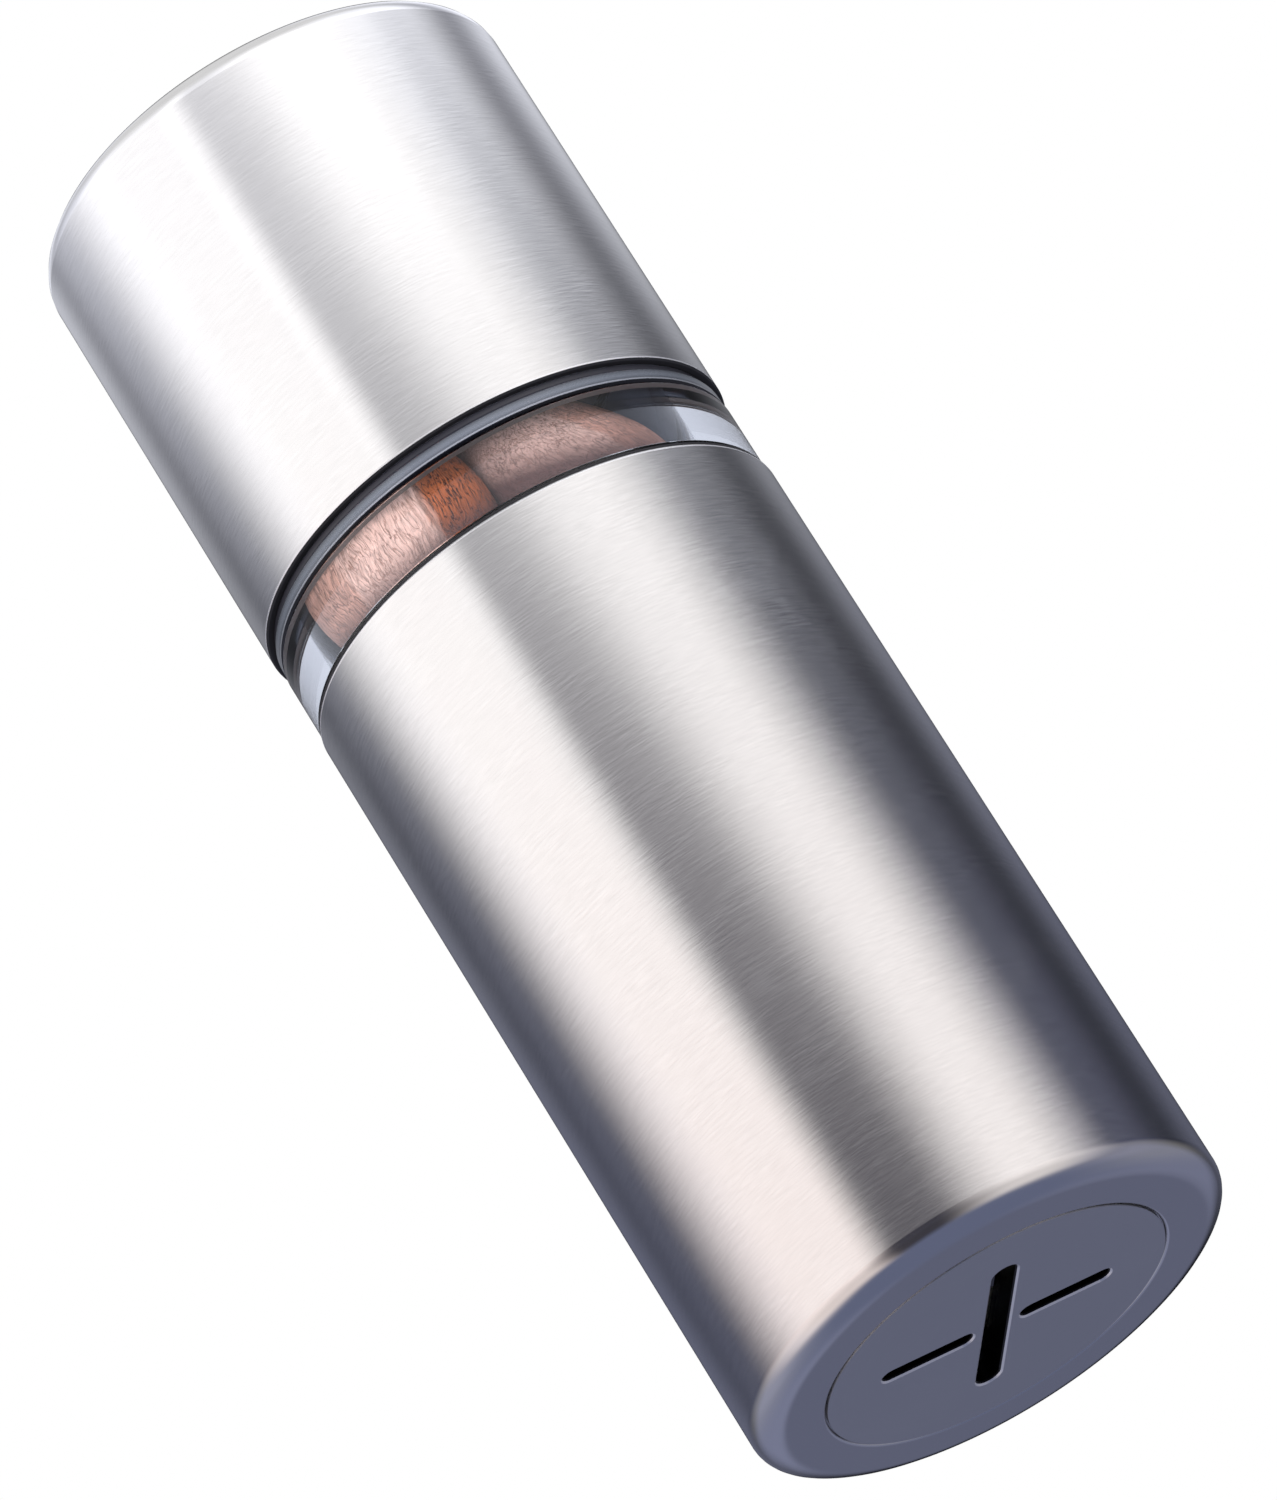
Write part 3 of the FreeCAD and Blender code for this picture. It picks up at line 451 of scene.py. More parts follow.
class Effect:
    """A shader effect that several materials share, kept as one node group."""

    name: str = ""
    inputs: tuple[tuple[str, str], ...] = ()
    outputs: tuple[str, ...] = ()

    @cached_property
    def tree(self) -> bpy.types.NodeTree:
        """The group's tree, built at its first use."""
        tree = bpy.data.node_groups.new(self.name, "ShaderNodeTree")
        for name, kind in self.inputs:
            tree.interface.new_socket(name=name, in_out="INPUT", socket_type=kind)
        for name in self.outputs:
            tree.interface.new_socket(name=name, in_out="OUTPUT", socket_type="NodeSocketFloat")
        nodes = Nodes(tree)
        start = nodes.add("NodeGroupInput")
        results = self.build(nodes, {name: start.outputs[name] for name, _ in self.inputs})
        end = nodes.add("NodeGroupOutput")
        for name, result in results.items():
            nodes.feed(end.inputs[name], result)
        return tree

    def build(self, nodes: Nodes, given: Sockets) -> Sockets:
        """Add the effect's nodes and return its outputs by name."""
        raise NotImplementedError

    def use(self, nodes: Nodes, **inputs: Value) -> Sockets:
        """Place the group in a material, feed its inputs, and return its outputs by name."""
        node = nodes.add("ShaderNodeGroup", node_tree=self.tree)
        for name, value in inputs.items():
            nodes.feed(node.inputs[name], value)
        return {name: node.outputs[name] for name in self.outputs}


class TurnedLines(Effect):
    """Fine lines that run round the mill's axis, on its sides as on its flat ends.

    The noise is read at (x / Length, y / Length, (z - r) / Pitch) with r the distance from the axis: it
    changes slowly round the axis and fast up a side or across an end.
    """

    name = "turned_lines"
    inputs = (("Place", "NodeSocketVector"), ("Length", "NodeSocketFloat"), ("Pitch", "NodeSocketFloat"))
    outputs = ("Lines", "Patches")
    # How much longer and wider than the lines the patches are.
    patch_size = (2.5, 14)

    def build(self, nodes: Nodes, given: Sockets) -> Sockets:
        """Lines are the single scratches, Patches the slow change of how deep they are."""
        place = given["Place"]
        *level, height = nodes.parts(place)
        radius = nodes.vector("LENGTH", nodes.vector("MULTIPLY", place, (1, 1, 0)))
        across = nodes.minus(height, radius)

        def stretched(longer: float, wider: float) -> Socket:
            """The place measured in lengths along the lines and pitches across them."""
            length = nodes.times(given["Length"], longer)
            along = [nodes.maths("DIVIDE", part, length) for part in level]
            return nodes.joined(*along, nodes.maths("DIVIDE", across, nodes.times(given["Pitch"], wider)))

        return {"Lines": nodes.noise(stretched(1, 1), detail=3, roughness=0.6),
                "Patches": nodes.noise(stretched(*self.patch_size), detail=1)}


class Grain(Effect):
    """The fine grain of a moulded surface, with a slow unevenness under it."""

    name = "moulded_grain"
    inputs = (("Place", "NodeSocketVector"), ("Size", "NodeSocketFloat"))
    outputs = ("Grain", "Unevenness")
    # How much larger than the grain the unevenness is.
    coarser = 30

    def build(self, nodes: Nodes, given: Sockets) -> Sockets:
        """Grain is noise of the given size, Unevenness much larger noise."""
        fine = nodes.scaled(given["Place"], nodes.maths("DIVIDE", 1.0, given["Size"]))
        return {"Grain": nodes.noise(fine, detail=2),
                "Unevenness": nodes.noise(nodes.scaled(fine, 1 / self.coarser), detail=1)}


class Handling(Effect):
    """Faint marks that hands leave: broad smears that change how the surface scatters light."""

    name = "handling_marks"
    inputs = (("Place", "NodeSocketVector"),)
    outputs = ("Smears",)
    # Waves in a metre of the smears' noise and of the noise that warps them, and how far it does.
    waves = 110
    warp_waves = 60
    warp = (0.012, 0.008, 0.015)
    # The noise's values between which a smear fades in.
    fade = (0.48, 0.72)

    def build(self, nodes: Nodes, given: Sockets) -> Sockets:
        """Noise that is warped by a coarser one and cut off below its middle."""
        coarse = nodes.noise(given["Place"], detail=1, scale=self.warp_waves)
        bent = nodes.vector("ADD", given["Place"], nodes.scaled(self.warp, coarse))
        smears = nodes.noise(bent, detail=4, roughness=0.62, scale=self.waves)
        return {"Smears": nodes.spread(smears, *self.fade, smooth=True)}


TURNED_LINES = TurnedLines()
GRAIN = Grain()
HANDLING = Handling()


# ---------------------------------------------------------------- finishes

@dataclass(frozen=True)
class Finish:
    """What every finish has: its material slot, a material that is built once, and that one's name."""

    slot: Slot
    name: str

    @property
    def material(self) -> bpy.types.Material:
        """The finish's material, built at its first use."""
        title = f"{self.name}_finish"
        found = bpy.data.materials.get(title)
        if found:
            return found
        made = bpy.data.materials.new(title)
        nodes = Nodes.fresh(made)
        nodes.add("ShaderNodeOutputMaterial", {"Surface": self.shader(nodes)})
        return made

    def shader(self, nodes: Nodes) -> Socket:
        """Add the finish's nodes and return its shader."""
        raise NotImplementedError


@dataclass(frozen=True)
class TurnedSteel(Finish):
    """Stainless steel with fine lines round the axis, which draw its mirrored light out along the axis."""

    colour: Colour
    roughness: float
    # Length of the lines, distance between them, and depth, with the share of it that patches leave.
    length: float = 2.5 * MM
    pitch: float = 0.29 * MM
    depth: float = 0.003 * MM
    patchy: Ramp = (0.3, 0.7, 0.35, 1.0)
    # How much the lines change the roughness and the colour, and how far they stretch highlights.
    scatter: float = 0.02
    tone: float = 0.13
    stretch: float = 0.0
    # How much smears add to the roughness.
    smeared: float = 0.02
    # Heights between which the lines fade out towards a smoother base.
    smooth_below: tuple[float, float] = (-2.0, -1.0)

    def shader(self, nodes: Nodes) -> Socket:
        """Metal whose colour, roughness and normal follow the lines and the handling marks."""
        place = nodes.place()
        lines = TURNED_LINES.use(nodes, Place=place, Length=self.length, Pitch=self.pitch)
        smears = HANDLING.use(nodes, Place=place)["Smears"]
        aside, away, height = nodes.parts(place)
        present = nodes.spread(height, *self.smooth_below, smooth=True)
        depth = nodes.times(present, nodes.spread(lines["Patches"], *self.patchy))
        offset = nodes.times(nodes.minus(lines["Lines"], 0.5), depth)
        rough = nodes.maths("MULTIPLY_ADD", offset, 2 * self.scatter, self.roughness)
        shade = nodes.maths("MULTIPLY_ADD", offset, 2 * self.tone, 1.0)
        round_axis = nodes.vector("NORMALIZE", nodes.joined(nodes.times(away, -1.0), aside))
        turned_with_piece = nodes.add("ShaderNodeVectorTransform", {0: round_axis}, vector_type="VECTOR",
                                      convert_from="OBJECT", convert_to="WORLD")
        return nodes.surface({
            "Base Color": self.marked(nodes, nodes.scaled(self.colour, shade)),
            "Metallic": 1.0,
            "Roughness": nodes.maths("ADD", rough, nodes.times(smears, self.smeared)),
            "Anisotropic": self.stretch,
            "Anisotropic Rotation": 0.25,
            "Tangent": turned_with_piece.outputs[0],
            "Normal": nodes.bump(nodes.times(lines["Lines"], depth), self.depth),
        })

    def marked(self, nodes: Nodes, colour: Socket) -> Socket:
        """The colour with what this finish draws on it, which is nothing on plain steel."""
        return colour


@dataclass(frozen=True)
class SlottedSteel(TurnedSteel):
    """Steel with painted shade inside its slots and a painted highlight along their bevels."""

    # Half width of the long slot, and how far it runs each way along Y.
    long_slot: tuple[float, float] = (1.225 * MM, 11.5 * MM)
    # Half width of the short slots, and where they start and end along X.
    short_slot: tuple[float, float, float] = (0.9 * MM, 2.6 * MM, 12.0 * MM)
    # Distances from a slot's outline: within the first, the slot's walls get the painted shade; between the
    # two, the bevel gets its painted highlight.
    highlight_reach: tuple[float, float] = (0.13 * MM, 0.3 * MM)
    # Colours of the painted highlight on the bevels and of the painted shade inside the slots.
    bevel_highlight_colour: Colour = (4.0, 4.0, 4.1)
    slot_shade_colour: Colour = (0.012, 0.012, 0.014)

    def marked(self, nodes: Nodes, colour: Socket) -> Socket:
        """Colour by the distance from the nearest slot's outline.

        A round-ended slot lies within its half width of the line between its ends' centres, so the
        distance from its outline is the distance from that line less the half width.
        """
        flat = nodes.vector("MULTIPLY", nodes.vector("ABSOLUTE", nodes.place()), (1, 1, 0))

        def outside(place: Socket, run: Point, half_width: float) -> Socket:
            """Distance from a slot whose middle line runs from zero to a point and from there back."""
            beyond = nodes.vector("MAXIMUM", nodes.vector("SUBTRACT", place, run), (0, 0, 0))
            return nodes.minus(nodes.vector("LENGTH", beyond), half_width)

        wide, reach = self.long_slot
        narrow, start, end = self.short_slot
        aside = nodes.vector("ABSOLUTE", nodes.vector("SUBTRACT", flat, ((start + end) / 2, 0, 0)))
        distance = nodes.maths("MINIMUM", outside(flat, (0, reach - wide, 0), wide),
                               outside(aside, ((end - start) / 2 - narrow, 0, 0), narrow))
        # Painted highlight on the bevels, then painted shade nearer to and inside the slots.
        for limit, painted_tone in zip(reversed(self.highlight_reach), (self.bevel_highlight_colour, self.slot_shade_colour)):
            colour = nodes.between(nodes.maths("LESS_THAN", distance, limit), colour, painted_tone)
        return colour


@dataclass(frozen=True)
class Moulded(Finish):
    """Moulded plastic or rubber with a fine grain."""

    colour: Colour
    roughness: float
    # Size and depth of the grain, and how much smears take off the roughness.
    size: float = 0.12 * MM
    depth: float = 0.01 * MM
    smeared: float = 0.05
    # How the unevenness multiplies the colour, and what the grain adds to the roughness.
    shade: Ramp = (0.25, 0.75, 0.94, 1.06)
    scatter: Ramp = (0.2, 0.8, -0.04, 0.05)

    def shader(self, nodes: Nodes) -> Socket:
        """Colour and roughness vary slowly, and the normal follows the grain."""
        place = nodes.place()
        grain = GRAIN.use(nodes, Place=place, Size=self.size)
        smears = HANDLING.use(nodes, Place=place)["Smears"]
        *ends, less, more = self.scatter
        rough = nodes.spread(grain["Grain"], *ends, self.roughness + less, self.roughness + more)
        return nodes.surface({
            "Base Color": nodes.scaled(self.colour, nodes.spread(grain["Unevenness"], *self.shade)),
            "Roughness": nodes.minus(rough, nodes.times(smears, self.smeared)),
            "IOR": 1.5,
            "Normal": nodes.bump(grain["Grain"], self.depth),
        })


@dataclass(frozen=True)
class Clear(Finish):
    """Polished clear acrylic that lets the lamps' light through to what is behind it."""

    tint: Colour
    clearness: float = 1.0
    roughness: float = 0.0
    index: float = 1.49

    # Kinds of rays that pass straight through: light on its way to a surface.
    passing = ("Is Shadow Ray", "Is Diffuse Ray")

    def shader(self, nodes: Nodes) -> Socket:
        """Glass for what is seen, and plain passage for light on its way to a surface."""
        glass = nodes.surface({
            "Base Color": self.tinted(nodes), "Roughness": self.roughness, "IOR": self.index,
            "Transmission Weight": self.clearness})
        through = nodes.add("ShaderNodeBsdfTransparent", {"Color": self.tint})
        rays = nodes.add("ShaderNodeLightPath")
        share = reduce(partial(nodes.maths, "MAXIMUM"), (rays.outputs[kind] for kind in self.passing))
        return nodes.mixed(share, glass, through.outputs[0])

    def tinted(self, nodes: Nodes) -> Value:
        """The colour over the surface, which is the plain tint on clear acrylic."""
        return self.tint


@dataclass(frozen=True)
class Frosted(Clear):
    """Smoky acrylic that glows a little, with painted shade by height: a painted shadow line at its foot, a
    painted highlight line over it, and a tint that darkens towards its top.
    """

    # Tints of the painted highlight line and of the painted shadow at the foot.
    painted_highlight_tint: Colour = (0.5, 0.52, 0.6)
    painted_shadow_tint: Colour = (0.004, 0.004, 0.006)
    # Height that the painted shadow at the foot reaches, and those where the painted shade is lightest and
    # darkest.
    foot: float = 93.87 * MM
    pale: float = 94.5 * MM
    dark: float = 95.4 * MM
    # Shares of the tint that are left just over the foot and at the darkest height.
    foot_share: float = 0.3
    dark_share: float = 0.15
    # The painted highlight line's lower and upper edge, counted from the foot.
    line: tuple[float, float] = (0.05 * MM, 0.22 * MM)

    passing = ("Is Shadow Ray",)

    def tinted(self, nodes: Nodes) -> Value:
        """Painted shadow up to the foot line, a painted highlight in a thin line over it, and painted shade
        that is lightest a little above that and darker below and above.
        """
        height = nodes.parts(nodes.place())[2]
        start, end = (self.foot + edge for edge in self.line)
        line = nodes.times(nodes.maths("GREATER_THAN", height, start), nodes.maths("LESS_THAN", height, end))
        rise = nodes.spread(height, self.foot, self.pale, self.foot_share, 1.0, smooth=True)
        fall = nodes.spread(height, self.pale, self.dark, 1.0, self.dark_share, smooth=True)
        share = nodes.maths("MINIMUM", rise, fall)
        tint = nodes.between(line, nodes.scaled(self.tint, share), self.painted_highlight_tint)
        return nodes.between(nodes.maths("LESS_THAN", height, self.foot), tint, self.painted_shadow_tint)


@dataclass(frozen=True)
class NutmegSkin(Finish):
    """The dry, finely furrowed skin of a nutmeg, rubbed brown in places and darkened in others by painted
    shade.
    """

    ridge: Colour
    furrow: Colour
    rubbed: Colour
    rubbed_furrow: Colour
    # Colour of the painted shade.
    painted_shade_colour: Colour
    # Distance between furrows and their length, and those of the fibres between them.
    furrow_size: tuple[float, float] = (0.36 * MM, 3.0 * MM)
    fibre_size: tuple[float, float] = (0.15 * MM, 1.5 * MM)
    # How far slower noise bends both, and its waves in a metre.
    bend: float = 1.0 * MM
    bend_waves: float = 380.0
    # How deep a furrow is by how far its noise is from the middle value.
    furrow_edge: Ramp = (0.008, 0.045, 1.0, 0.0)
    # Waves in a metre of the blotches, and how they change the furrows' strength and the colour.
    blotch_waves: float = 420.0
    blotch_strength: Ramp = (0.35, 0.7, 0.3, 0.95)
    blotch_shade: Ramp = (0.3, 0.7, 1.08, 0.90)
    # How the fibres change the colour and the roughness, and their height beside the furrows' depth.
    fibre_shade: Ramp = (0.3, 0.7, 0.62, 1.26)
    fibre_roughness: Ramp = (0.2, 0.8, 0.5, 0.68)
    fibre_height: float = 0.3
    furrow_depth: float = 0.05 * MM

    def shader(self, nodes: Nodes) -> Socket:
        """Colour goes from ridge to furrow and to the rubbed brown, darkened by the painted shade.

        A furrow lies where noise, drawn out along the nutmeg's own axis and bent by a slower noise,
        passes through its middle value. The nutmeg's own axis is Z in the attribute "own_place".
        """
        own = nodes.add("ShaderNodeAttribute", attribute_name="own_place").outputs["Vector"]
        worn, stain, creases = (nodes.add("ShaderNodeAttribute", attribute_name=name).outputs["Fac"]
                                for name in ("rubbed", "stain", "crease"))
        slow = nodes.add("ShaderNodeTexNoise", {"Vector": own, "Scale": self.bend_waves, "Detail": 1.0})
        sway = nodes.vector("SUBTRACT", slow.outputs["Color"], (0.5,) * 3)
        bent = nodes.vector("ADD", own, nodes.scaled(sway, self.bend))

        def drawn_out(size: tuple[float, float]) -> Socket:
            """The bent place in widths across the nutmeg's axis and lengths along it."""
            return nodes.vector("MULTIPLY", bent, (1 / size[0], 1 / size[0], 1 / size[1]))

        waves = nodes.noise(drawn_out(self.furrow_size), detail=2)
        off = nodes.maths("ABSOLUTE", nodes.minus(waves, 0.5))
        furrows = nodes.maths("MAXIMUM", nodes.spread(off, *self.furrow_edge), creases)
        fibres = nodes.noise(drawn_out(self.fibre_size), detail=3, roughness=0.6)
        blotches = nodes.noise(own, detail=3, scale=self.blotch_waves)
        strength = nodes.spread(blotches, *self.blotch_strength)
        pale = nodes.between(nodes.times(furrows, strength), self.ridge, self.furrow)
        brown = nodes.between(furrows, self.rubbed, self.rubbed_furrow)
        # The painted shade darkens the skin towards its own colour.
        skin = nodes.between(stain, nodes.between(worn, pale, brown), self.painted_shade_colour)
        shade = nodes.times(nodes.spread(fibres, *self.fibre_shade),
                            nodes.spread(blotches, *self.blotch_shade))
        relief = nodes.minus(nodes.times(fibres, self.fibre_height), furrows)
        return nodes.surface({
            "Base Color": nodes.scaled(skin, shade),
            "Roughness": nodes.spread(fibres, *self.fibre_roughness),
            "Normal": nodes.bump(relief, self.furrow_depth),
        })


BRUSHED_STEEL = TurnedSteel(Slot.BRUSHED_STEEL, "brushed_steel", (0.80, 0.795, 0.79), 0.145, stretch=0.3,
                            smooth_below=(0.6 * MM, 3 * MM))
# Bright steel for thin bands at the rims: a painted highlight line.
RIM_HIGHLIGHT = TurnedSteel(Slot.BRUSHED_STEEL, "cut_edge", (0.96, 0.96, 0.97), 0.45, depth=0.001 * MM, tone=0.02)
SATIN_STEEL = SlottedSteel(Slot.SATIN_STEEL, "satin_steel", (0.76, 0.76, 0.76), 0.32, pitch=0.2 * MM,
                           depth=0.001 * MM, tone=0.03)
# Dark steel for the cutter, blades and spikes: its darkness is partly painted shade, so that the slots in the
# base look dark inside.
BLADE_STEEL = TurnedSteel(Slot.BLADE_STEEL, "blackened_steel", (0.07, 0.072, 0.08), 0.24, depth=0.002 * MM)
FASTENER_STEEL = TurnedSteel(Slot.FASTENER_STEEL, "fastener_steel", (0.70, 0.70, 0.71), 0.3, length=1 * MM,
                             pitch=0.1 * MM, depth=0.002 * MM)
SPRING_STEEL = TurnedSteel(Slot.SPRING_STEEL, "spring_steel", (0.55, 0.55, 0.57), 0.28, length=3 * MM,
                           pitch=0.08 * MM, depth=0.002 * MM)
DARK_PLASTIC = Moulded(Slot.DARK_PLASTIC, "dark_plastic", (0.018, 0.020, 0.030), 0.42)
GREY_PLASTIC = Moulded(Slot.GREY_PLASTIC, "grey_plastic", (0.15, 0.16, 0.20), 0.46)
WHITE_PLASTIC = Moulded(Slot.WHITE_PLASTIC, "white_plastic", (0.78, 0.78, 0.75), 0.38)
BLACK_RUBBER = Moulded(Slot.BLACK_RUBBER, "black_rubber", (0.008, 0.008, 0.010), 0.6, size=0.08 * MM)
SEAL_RUBBER = Moulded(Slot.BLACK_RUBBER, "seal_rubber", (0.016, 0.016, 0.022), 0.38, size=0.08 * MM)
CLEAR_ACRYLIC = Clear(Slot.CLEAR_ACRYLIC, "clear_acrylic", (0.97, 0.98, 1.0))
# The collar: smoky acrylic with painted shade, a painted shadow line at its foot and a painted highlight line
# over it.
SMOKY_ACRYLIC = Frosted(Slot.CLEAR_ACRYLIC, "smoky_acrylic", (0.30, 0.33, 0.41), 0.7, 0.05)
# Dark matt faces on the clear tube's ledges: painted shade.
LEDGE_PAINTED_SHADE = Moulded(Slot.CLEAR_ACRYLIC, "shaded_joint", (0.07, 0.055, 0.055), 0.5)
# The last colour is that of the painted shade.
NUTMEG_SKIN = NutmegSkin(Slot.NUTMEG_SHELL, "nutmeg_skin", (0.66, 0.42, 0.355), (0.27, 0.135, 0.10),
                         (0.35, 0.092, 0.03), (0.04, 0.010, 0.005), (0.085, 0.04, 0.038))


# ---------------------------------------------------------------- pieces

@dataclass
class SubAssembly:
    """Pieces that share a body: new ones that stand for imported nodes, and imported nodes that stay."""

    nodes: dict[str, Piece]
    # Rounding of an edge that looks sharp.
    edge: float = 0.05 * MM

    # The same for all of a class: its body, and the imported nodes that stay, with their finishes.
    body = Body.BODY
    kept = dict[str, Finish]()

    def build(self) -> None:
        """Make the new pieces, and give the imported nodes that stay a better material."""
        self.make()
        for node, finish in self.kept.items():
            for slot in self.nodes[node].material_slots:
                slot.material = finish.material
            LOG.info("%s: packed node in %s", node, finish.slot.value)

    def make(self) -> None:
        """Make the sub-assembly's new pieces, where it has any."""

    def stand_for(self, node: str, made: Piece, finish: Finish) -> Piece:
        """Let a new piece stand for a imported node, in its finish and on its body."""
        made.data.materials.append(finish.material)
        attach(made, self.body.value)
        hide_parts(node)
        LOG.info("%s: %d faces, rides on %s", made.name, len(made.data.polygons), self.body.value)
        return made

    def lathe(self, node: str, outline: Sequence[tuple[float, ...]], finish: Finish) -> Piece:
        """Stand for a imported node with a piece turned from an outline.

        Args:
            node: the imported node.
            outline: radius, height and rounding of each corner; a corner without rounding is a plain edge.
            finish: the new piece's finish.

        Returns:
            The new piece.
        """
        made = turned([(*corner, self.edge)[:3] for corner in outline]).piece(f"{node}_turned")
        return self.stand_for(node, made, finish)

    def band(self, made: Piece, finish: Finish, low: float, high: float) -> None:
        """Give the faces of a new piece whose middles lie between two heights another finish."""
        made.data.materials.append(finish.material)
        middles = np.empty(len(made.data.polygons) * 3)
        made.data.polygons.foreach_get("center", middles)
        inside = (middles[2::3] > low) & (middles[2::3] < high)
        indices = np.zeros(len(inside), np.int32)
        made.data.polygons.foreach_get("material_index", indices)
        indices[inside] = len(made.data.materials) - 1
        made.data.polygons.foreach_set("material_index", indices)

    def reach(self, node: str) -> tuple[float, float, float]:
        """Outside radius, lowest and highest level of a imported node."""
        low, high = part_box(node)
        return high.x, low.z, high.z


@dataclass
class LowerShell(SubAssembly):
    """The steel body, the grating in its base, and the liner that clamps it."""

    sheet: float = 0.8 * MM
    base_hole: float = 18 * MM
    hole_round: float = 0.35 * MM
    # The foot is rounded in two steps: where the slanting side between them starts and ends, counted
    # from the corner inwards and upwards, and the rounding at each end of it.
    foot_slant: tuple[float, float] = (2.0 * MM, 1.4 * MM)
    foot_rounds: tuple[float, float] = (3.7 * MM, 1.9 * MM)
    inner_round: float = 1.7 * MM
    rim_bevel: float = 0.2 * MM
    # Height of the band of bright steel under the rim's bevel, a painted highlight line.
    rim_highlight_line: float = 0.14 * MM

    kept = {
        "base_plate": SATIN_STEEL, "cutter_plate": BLADE_STEEL,
        **{f"{length}_blade_{number}": BLADE_STEEL for length in ("short", "long") for number in (1, 2)},
        "blade_rivets": FASTENER_STEEL, "cutter_screws": FASTENER_STEEL, "chamber_liner": GREY_PLASTIC,
        "tube_bush": WHITE_PLASTIC}

    def make(self) -> None:
        """Turn the sleeve: a tube with a turned-in base, a rounded foot and a bevelled rim."""
        radius, low, high = self.reach("body_sleeve")
        bore = radius - self.sheet
        rim = high - self.rim_bevel
        inwards, upwards = self.foot_slant
        made = self.lathe("body_sleeve", (
            (self.base_hole, low, self.hole_round), (radius - inwards, low, self.foot_rounds[0]),
            (radius, low + upwards, self.foot_rounds[1]), (radius, rim - self.rim_highlight_line, 0), (radius, rim),
            (radius - self.rim_bevel, high), (bore, high), (bore, low + self.sheet, self.inner_round),
            (self.base_hole, low + self.sheet)), BRUSHED_STEEL)
        # The rim's bevel and the band under it are bright steel: a painted highlight line.
        self.band(made, RIM_HIGHLIGHT, rim - self.rim_highlight_line, high)


@dataclass
class Plug(SubAssembly):
    """The ring that plugs into the body's mouth, with its seal and the washer on it."""

    body = Body.PLUG
    kept = {"plug_ring": BLACK_RUBBER, "plug_seal": BLACK_RUBBER, "glide_washer": CLEAR_ACRYLIC}


@dataclass
class Head(SubAssembly):
    """The storage tube with its rings, the drive tube under it, and the spring inside that."""

    storage_bore: float = STORAGE_BORE
    neck_wall: float = 1.6 * MM
    window_low: float = 86.0 * MM
    window_high: float = 93.4 * MM
    window_bevel: float = 0.12 * MM
    collar_bevel: float = 0.22 * MM
    step: float = 0.7 * MM
    # Air between the step's top and the collar, which keeps light in the window band.
    step_air: float = 0.03 * MM
    collar_gap: float = 0.05 * MM
    groove_depth: float = 0.65 * MM
    groove_half: float = 0.45 * MM
    mouth_round: float = 0.3 * MM
    cap_seal_bevel: float = 0.1 * MM
    coil_turns: int = 14
    wire: float = 0.55 * MM
    # Rise of the spring's first and last turn, counted in wire radii.
    flat_rise: float = 1.9
    turn_steps: int = 48
    wire_sides: int = 14
    # The share of its length that the spring keeps when the pusher is right up.
    spring_keep: float = 0.573

    body = Body.HEAD
    kept = {"grip_ring": BLACK_RUBBER, "drive_hub": DARK_PLASTIC, "hub_screws": FASTENER_STEEL,
            "drive_tube": DARK_PLASTIC, "spring_seat": WHITE_PLASTIC}

    def make(self) -> None:
        """Make the clear tube, the collar over its window band, the seal under the cap, and the spring."""
        self.tube()
        self.ring("collar_ring", self.collar_bevel, SMOKY_ACRYLIC)
        self.ring("cap_seal", self.cap_seal_bevel, SEAL_RUBBER)
        self.spring()

    @property
    def neck(self) -> float:
        """Outside radius of the storage tube's necks."""
        return self.storage_bore + self.neck_wall

    def tube(self) -> None:
        """The clear tube: a lower neck, the thick window band with a step on it, and the upper neck."""
        window, low, high = self.reach("storage_tube")
        collar_low = self.reach("collar_ring")[1] - self.step_air
        groove_middle = sum(self.reach("grip_ring")[1:]) / 2
        groove_low, groove_high = groove_middle - self.groove_half, groove_middle + self.groove_half
        groove, step, bevelled = self.neck - self.groove_depth, window - self.step, window - self.window_bevel
        made = self.lathe("storage_tube", (
            (self.storage_bore, low), (self.neck, low), (self.neck, self.window_low),
            (bevelled, self.window_low), (window, self.window_low + self.window_bevel),
            (window, self.window_high - self.window_bevel), (bevelled, self.window_high),
            (step, self.window_high), (step, collar_low), (self.neck, collar_low), (self.neck, groove_low),
            (groove, groove_low), (groove, groove_high), (self.neck, groove_high),
            (self.neck, high, self.mouth_round), (self.storage_bore, high, self.mouth_round)), CLEAR_ACRYLIC)
        # The ledges at the step's top and at the collar are painted dark: painted shade that keeps them from
        # mirroring the nutmegs into the window band.
        for height in (self.window_high, collar_low):
            self.band(made, LEDGE_PAINTED_SHADE, height - self.edge / 3, height + self.edge / 3)

    def ring(self, node: str, bevel: float, finish: Finish) -> None:
        """Make a flat ring on the neck, with bevelled outer edges."""
        rim, low, high = self.reach(node)
        bore = self.neck + self.collar_gap
        self.lathe(node, ((bore, low), (rim - bevel, low), (rim, low + bevel), (rim, high - bevel),
                          (rim - bevel, high), (bore, high)), finish)

    def spring(self) -> None:
        """A wire spring whose last turn at each end lies flat.

        The wire's middle runs at the height h(t) over t turns, where h rises by a wire's width over the
        first and the last turn, and evenly between them.
        """
        outside, low, high = self.reach("pusher_spring")
        coil, rise = outside - self.wire, self.flat_rise * self.wire
        count = self.coil_turns * self.turn_steps
        turns = np.linspace(0, self.coil_turns, count)
        height = np.interp(turns, (0, 1, self.coil_turns - 1, self.coil_turns), (
            low + self.wire, low + self.wire + rise, high - self.wire - rise, high - self.wire))
        angle = 2 * math.pi * turns
        path = np.stack([coil * np.cos(angle), coil * np.sin(angle), height], axis=1)
        radius = np.full(count, self.wire)
        radius[[0, -1]] = 0
        path[[0, -1]] = path[[1, -2]]
        made = swept(path, radius, self.wire_sides).piece("pusher_spring_wire")
        self.stand_for("pusher_spring", made, SPRING_STEEL)
        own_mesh(made)


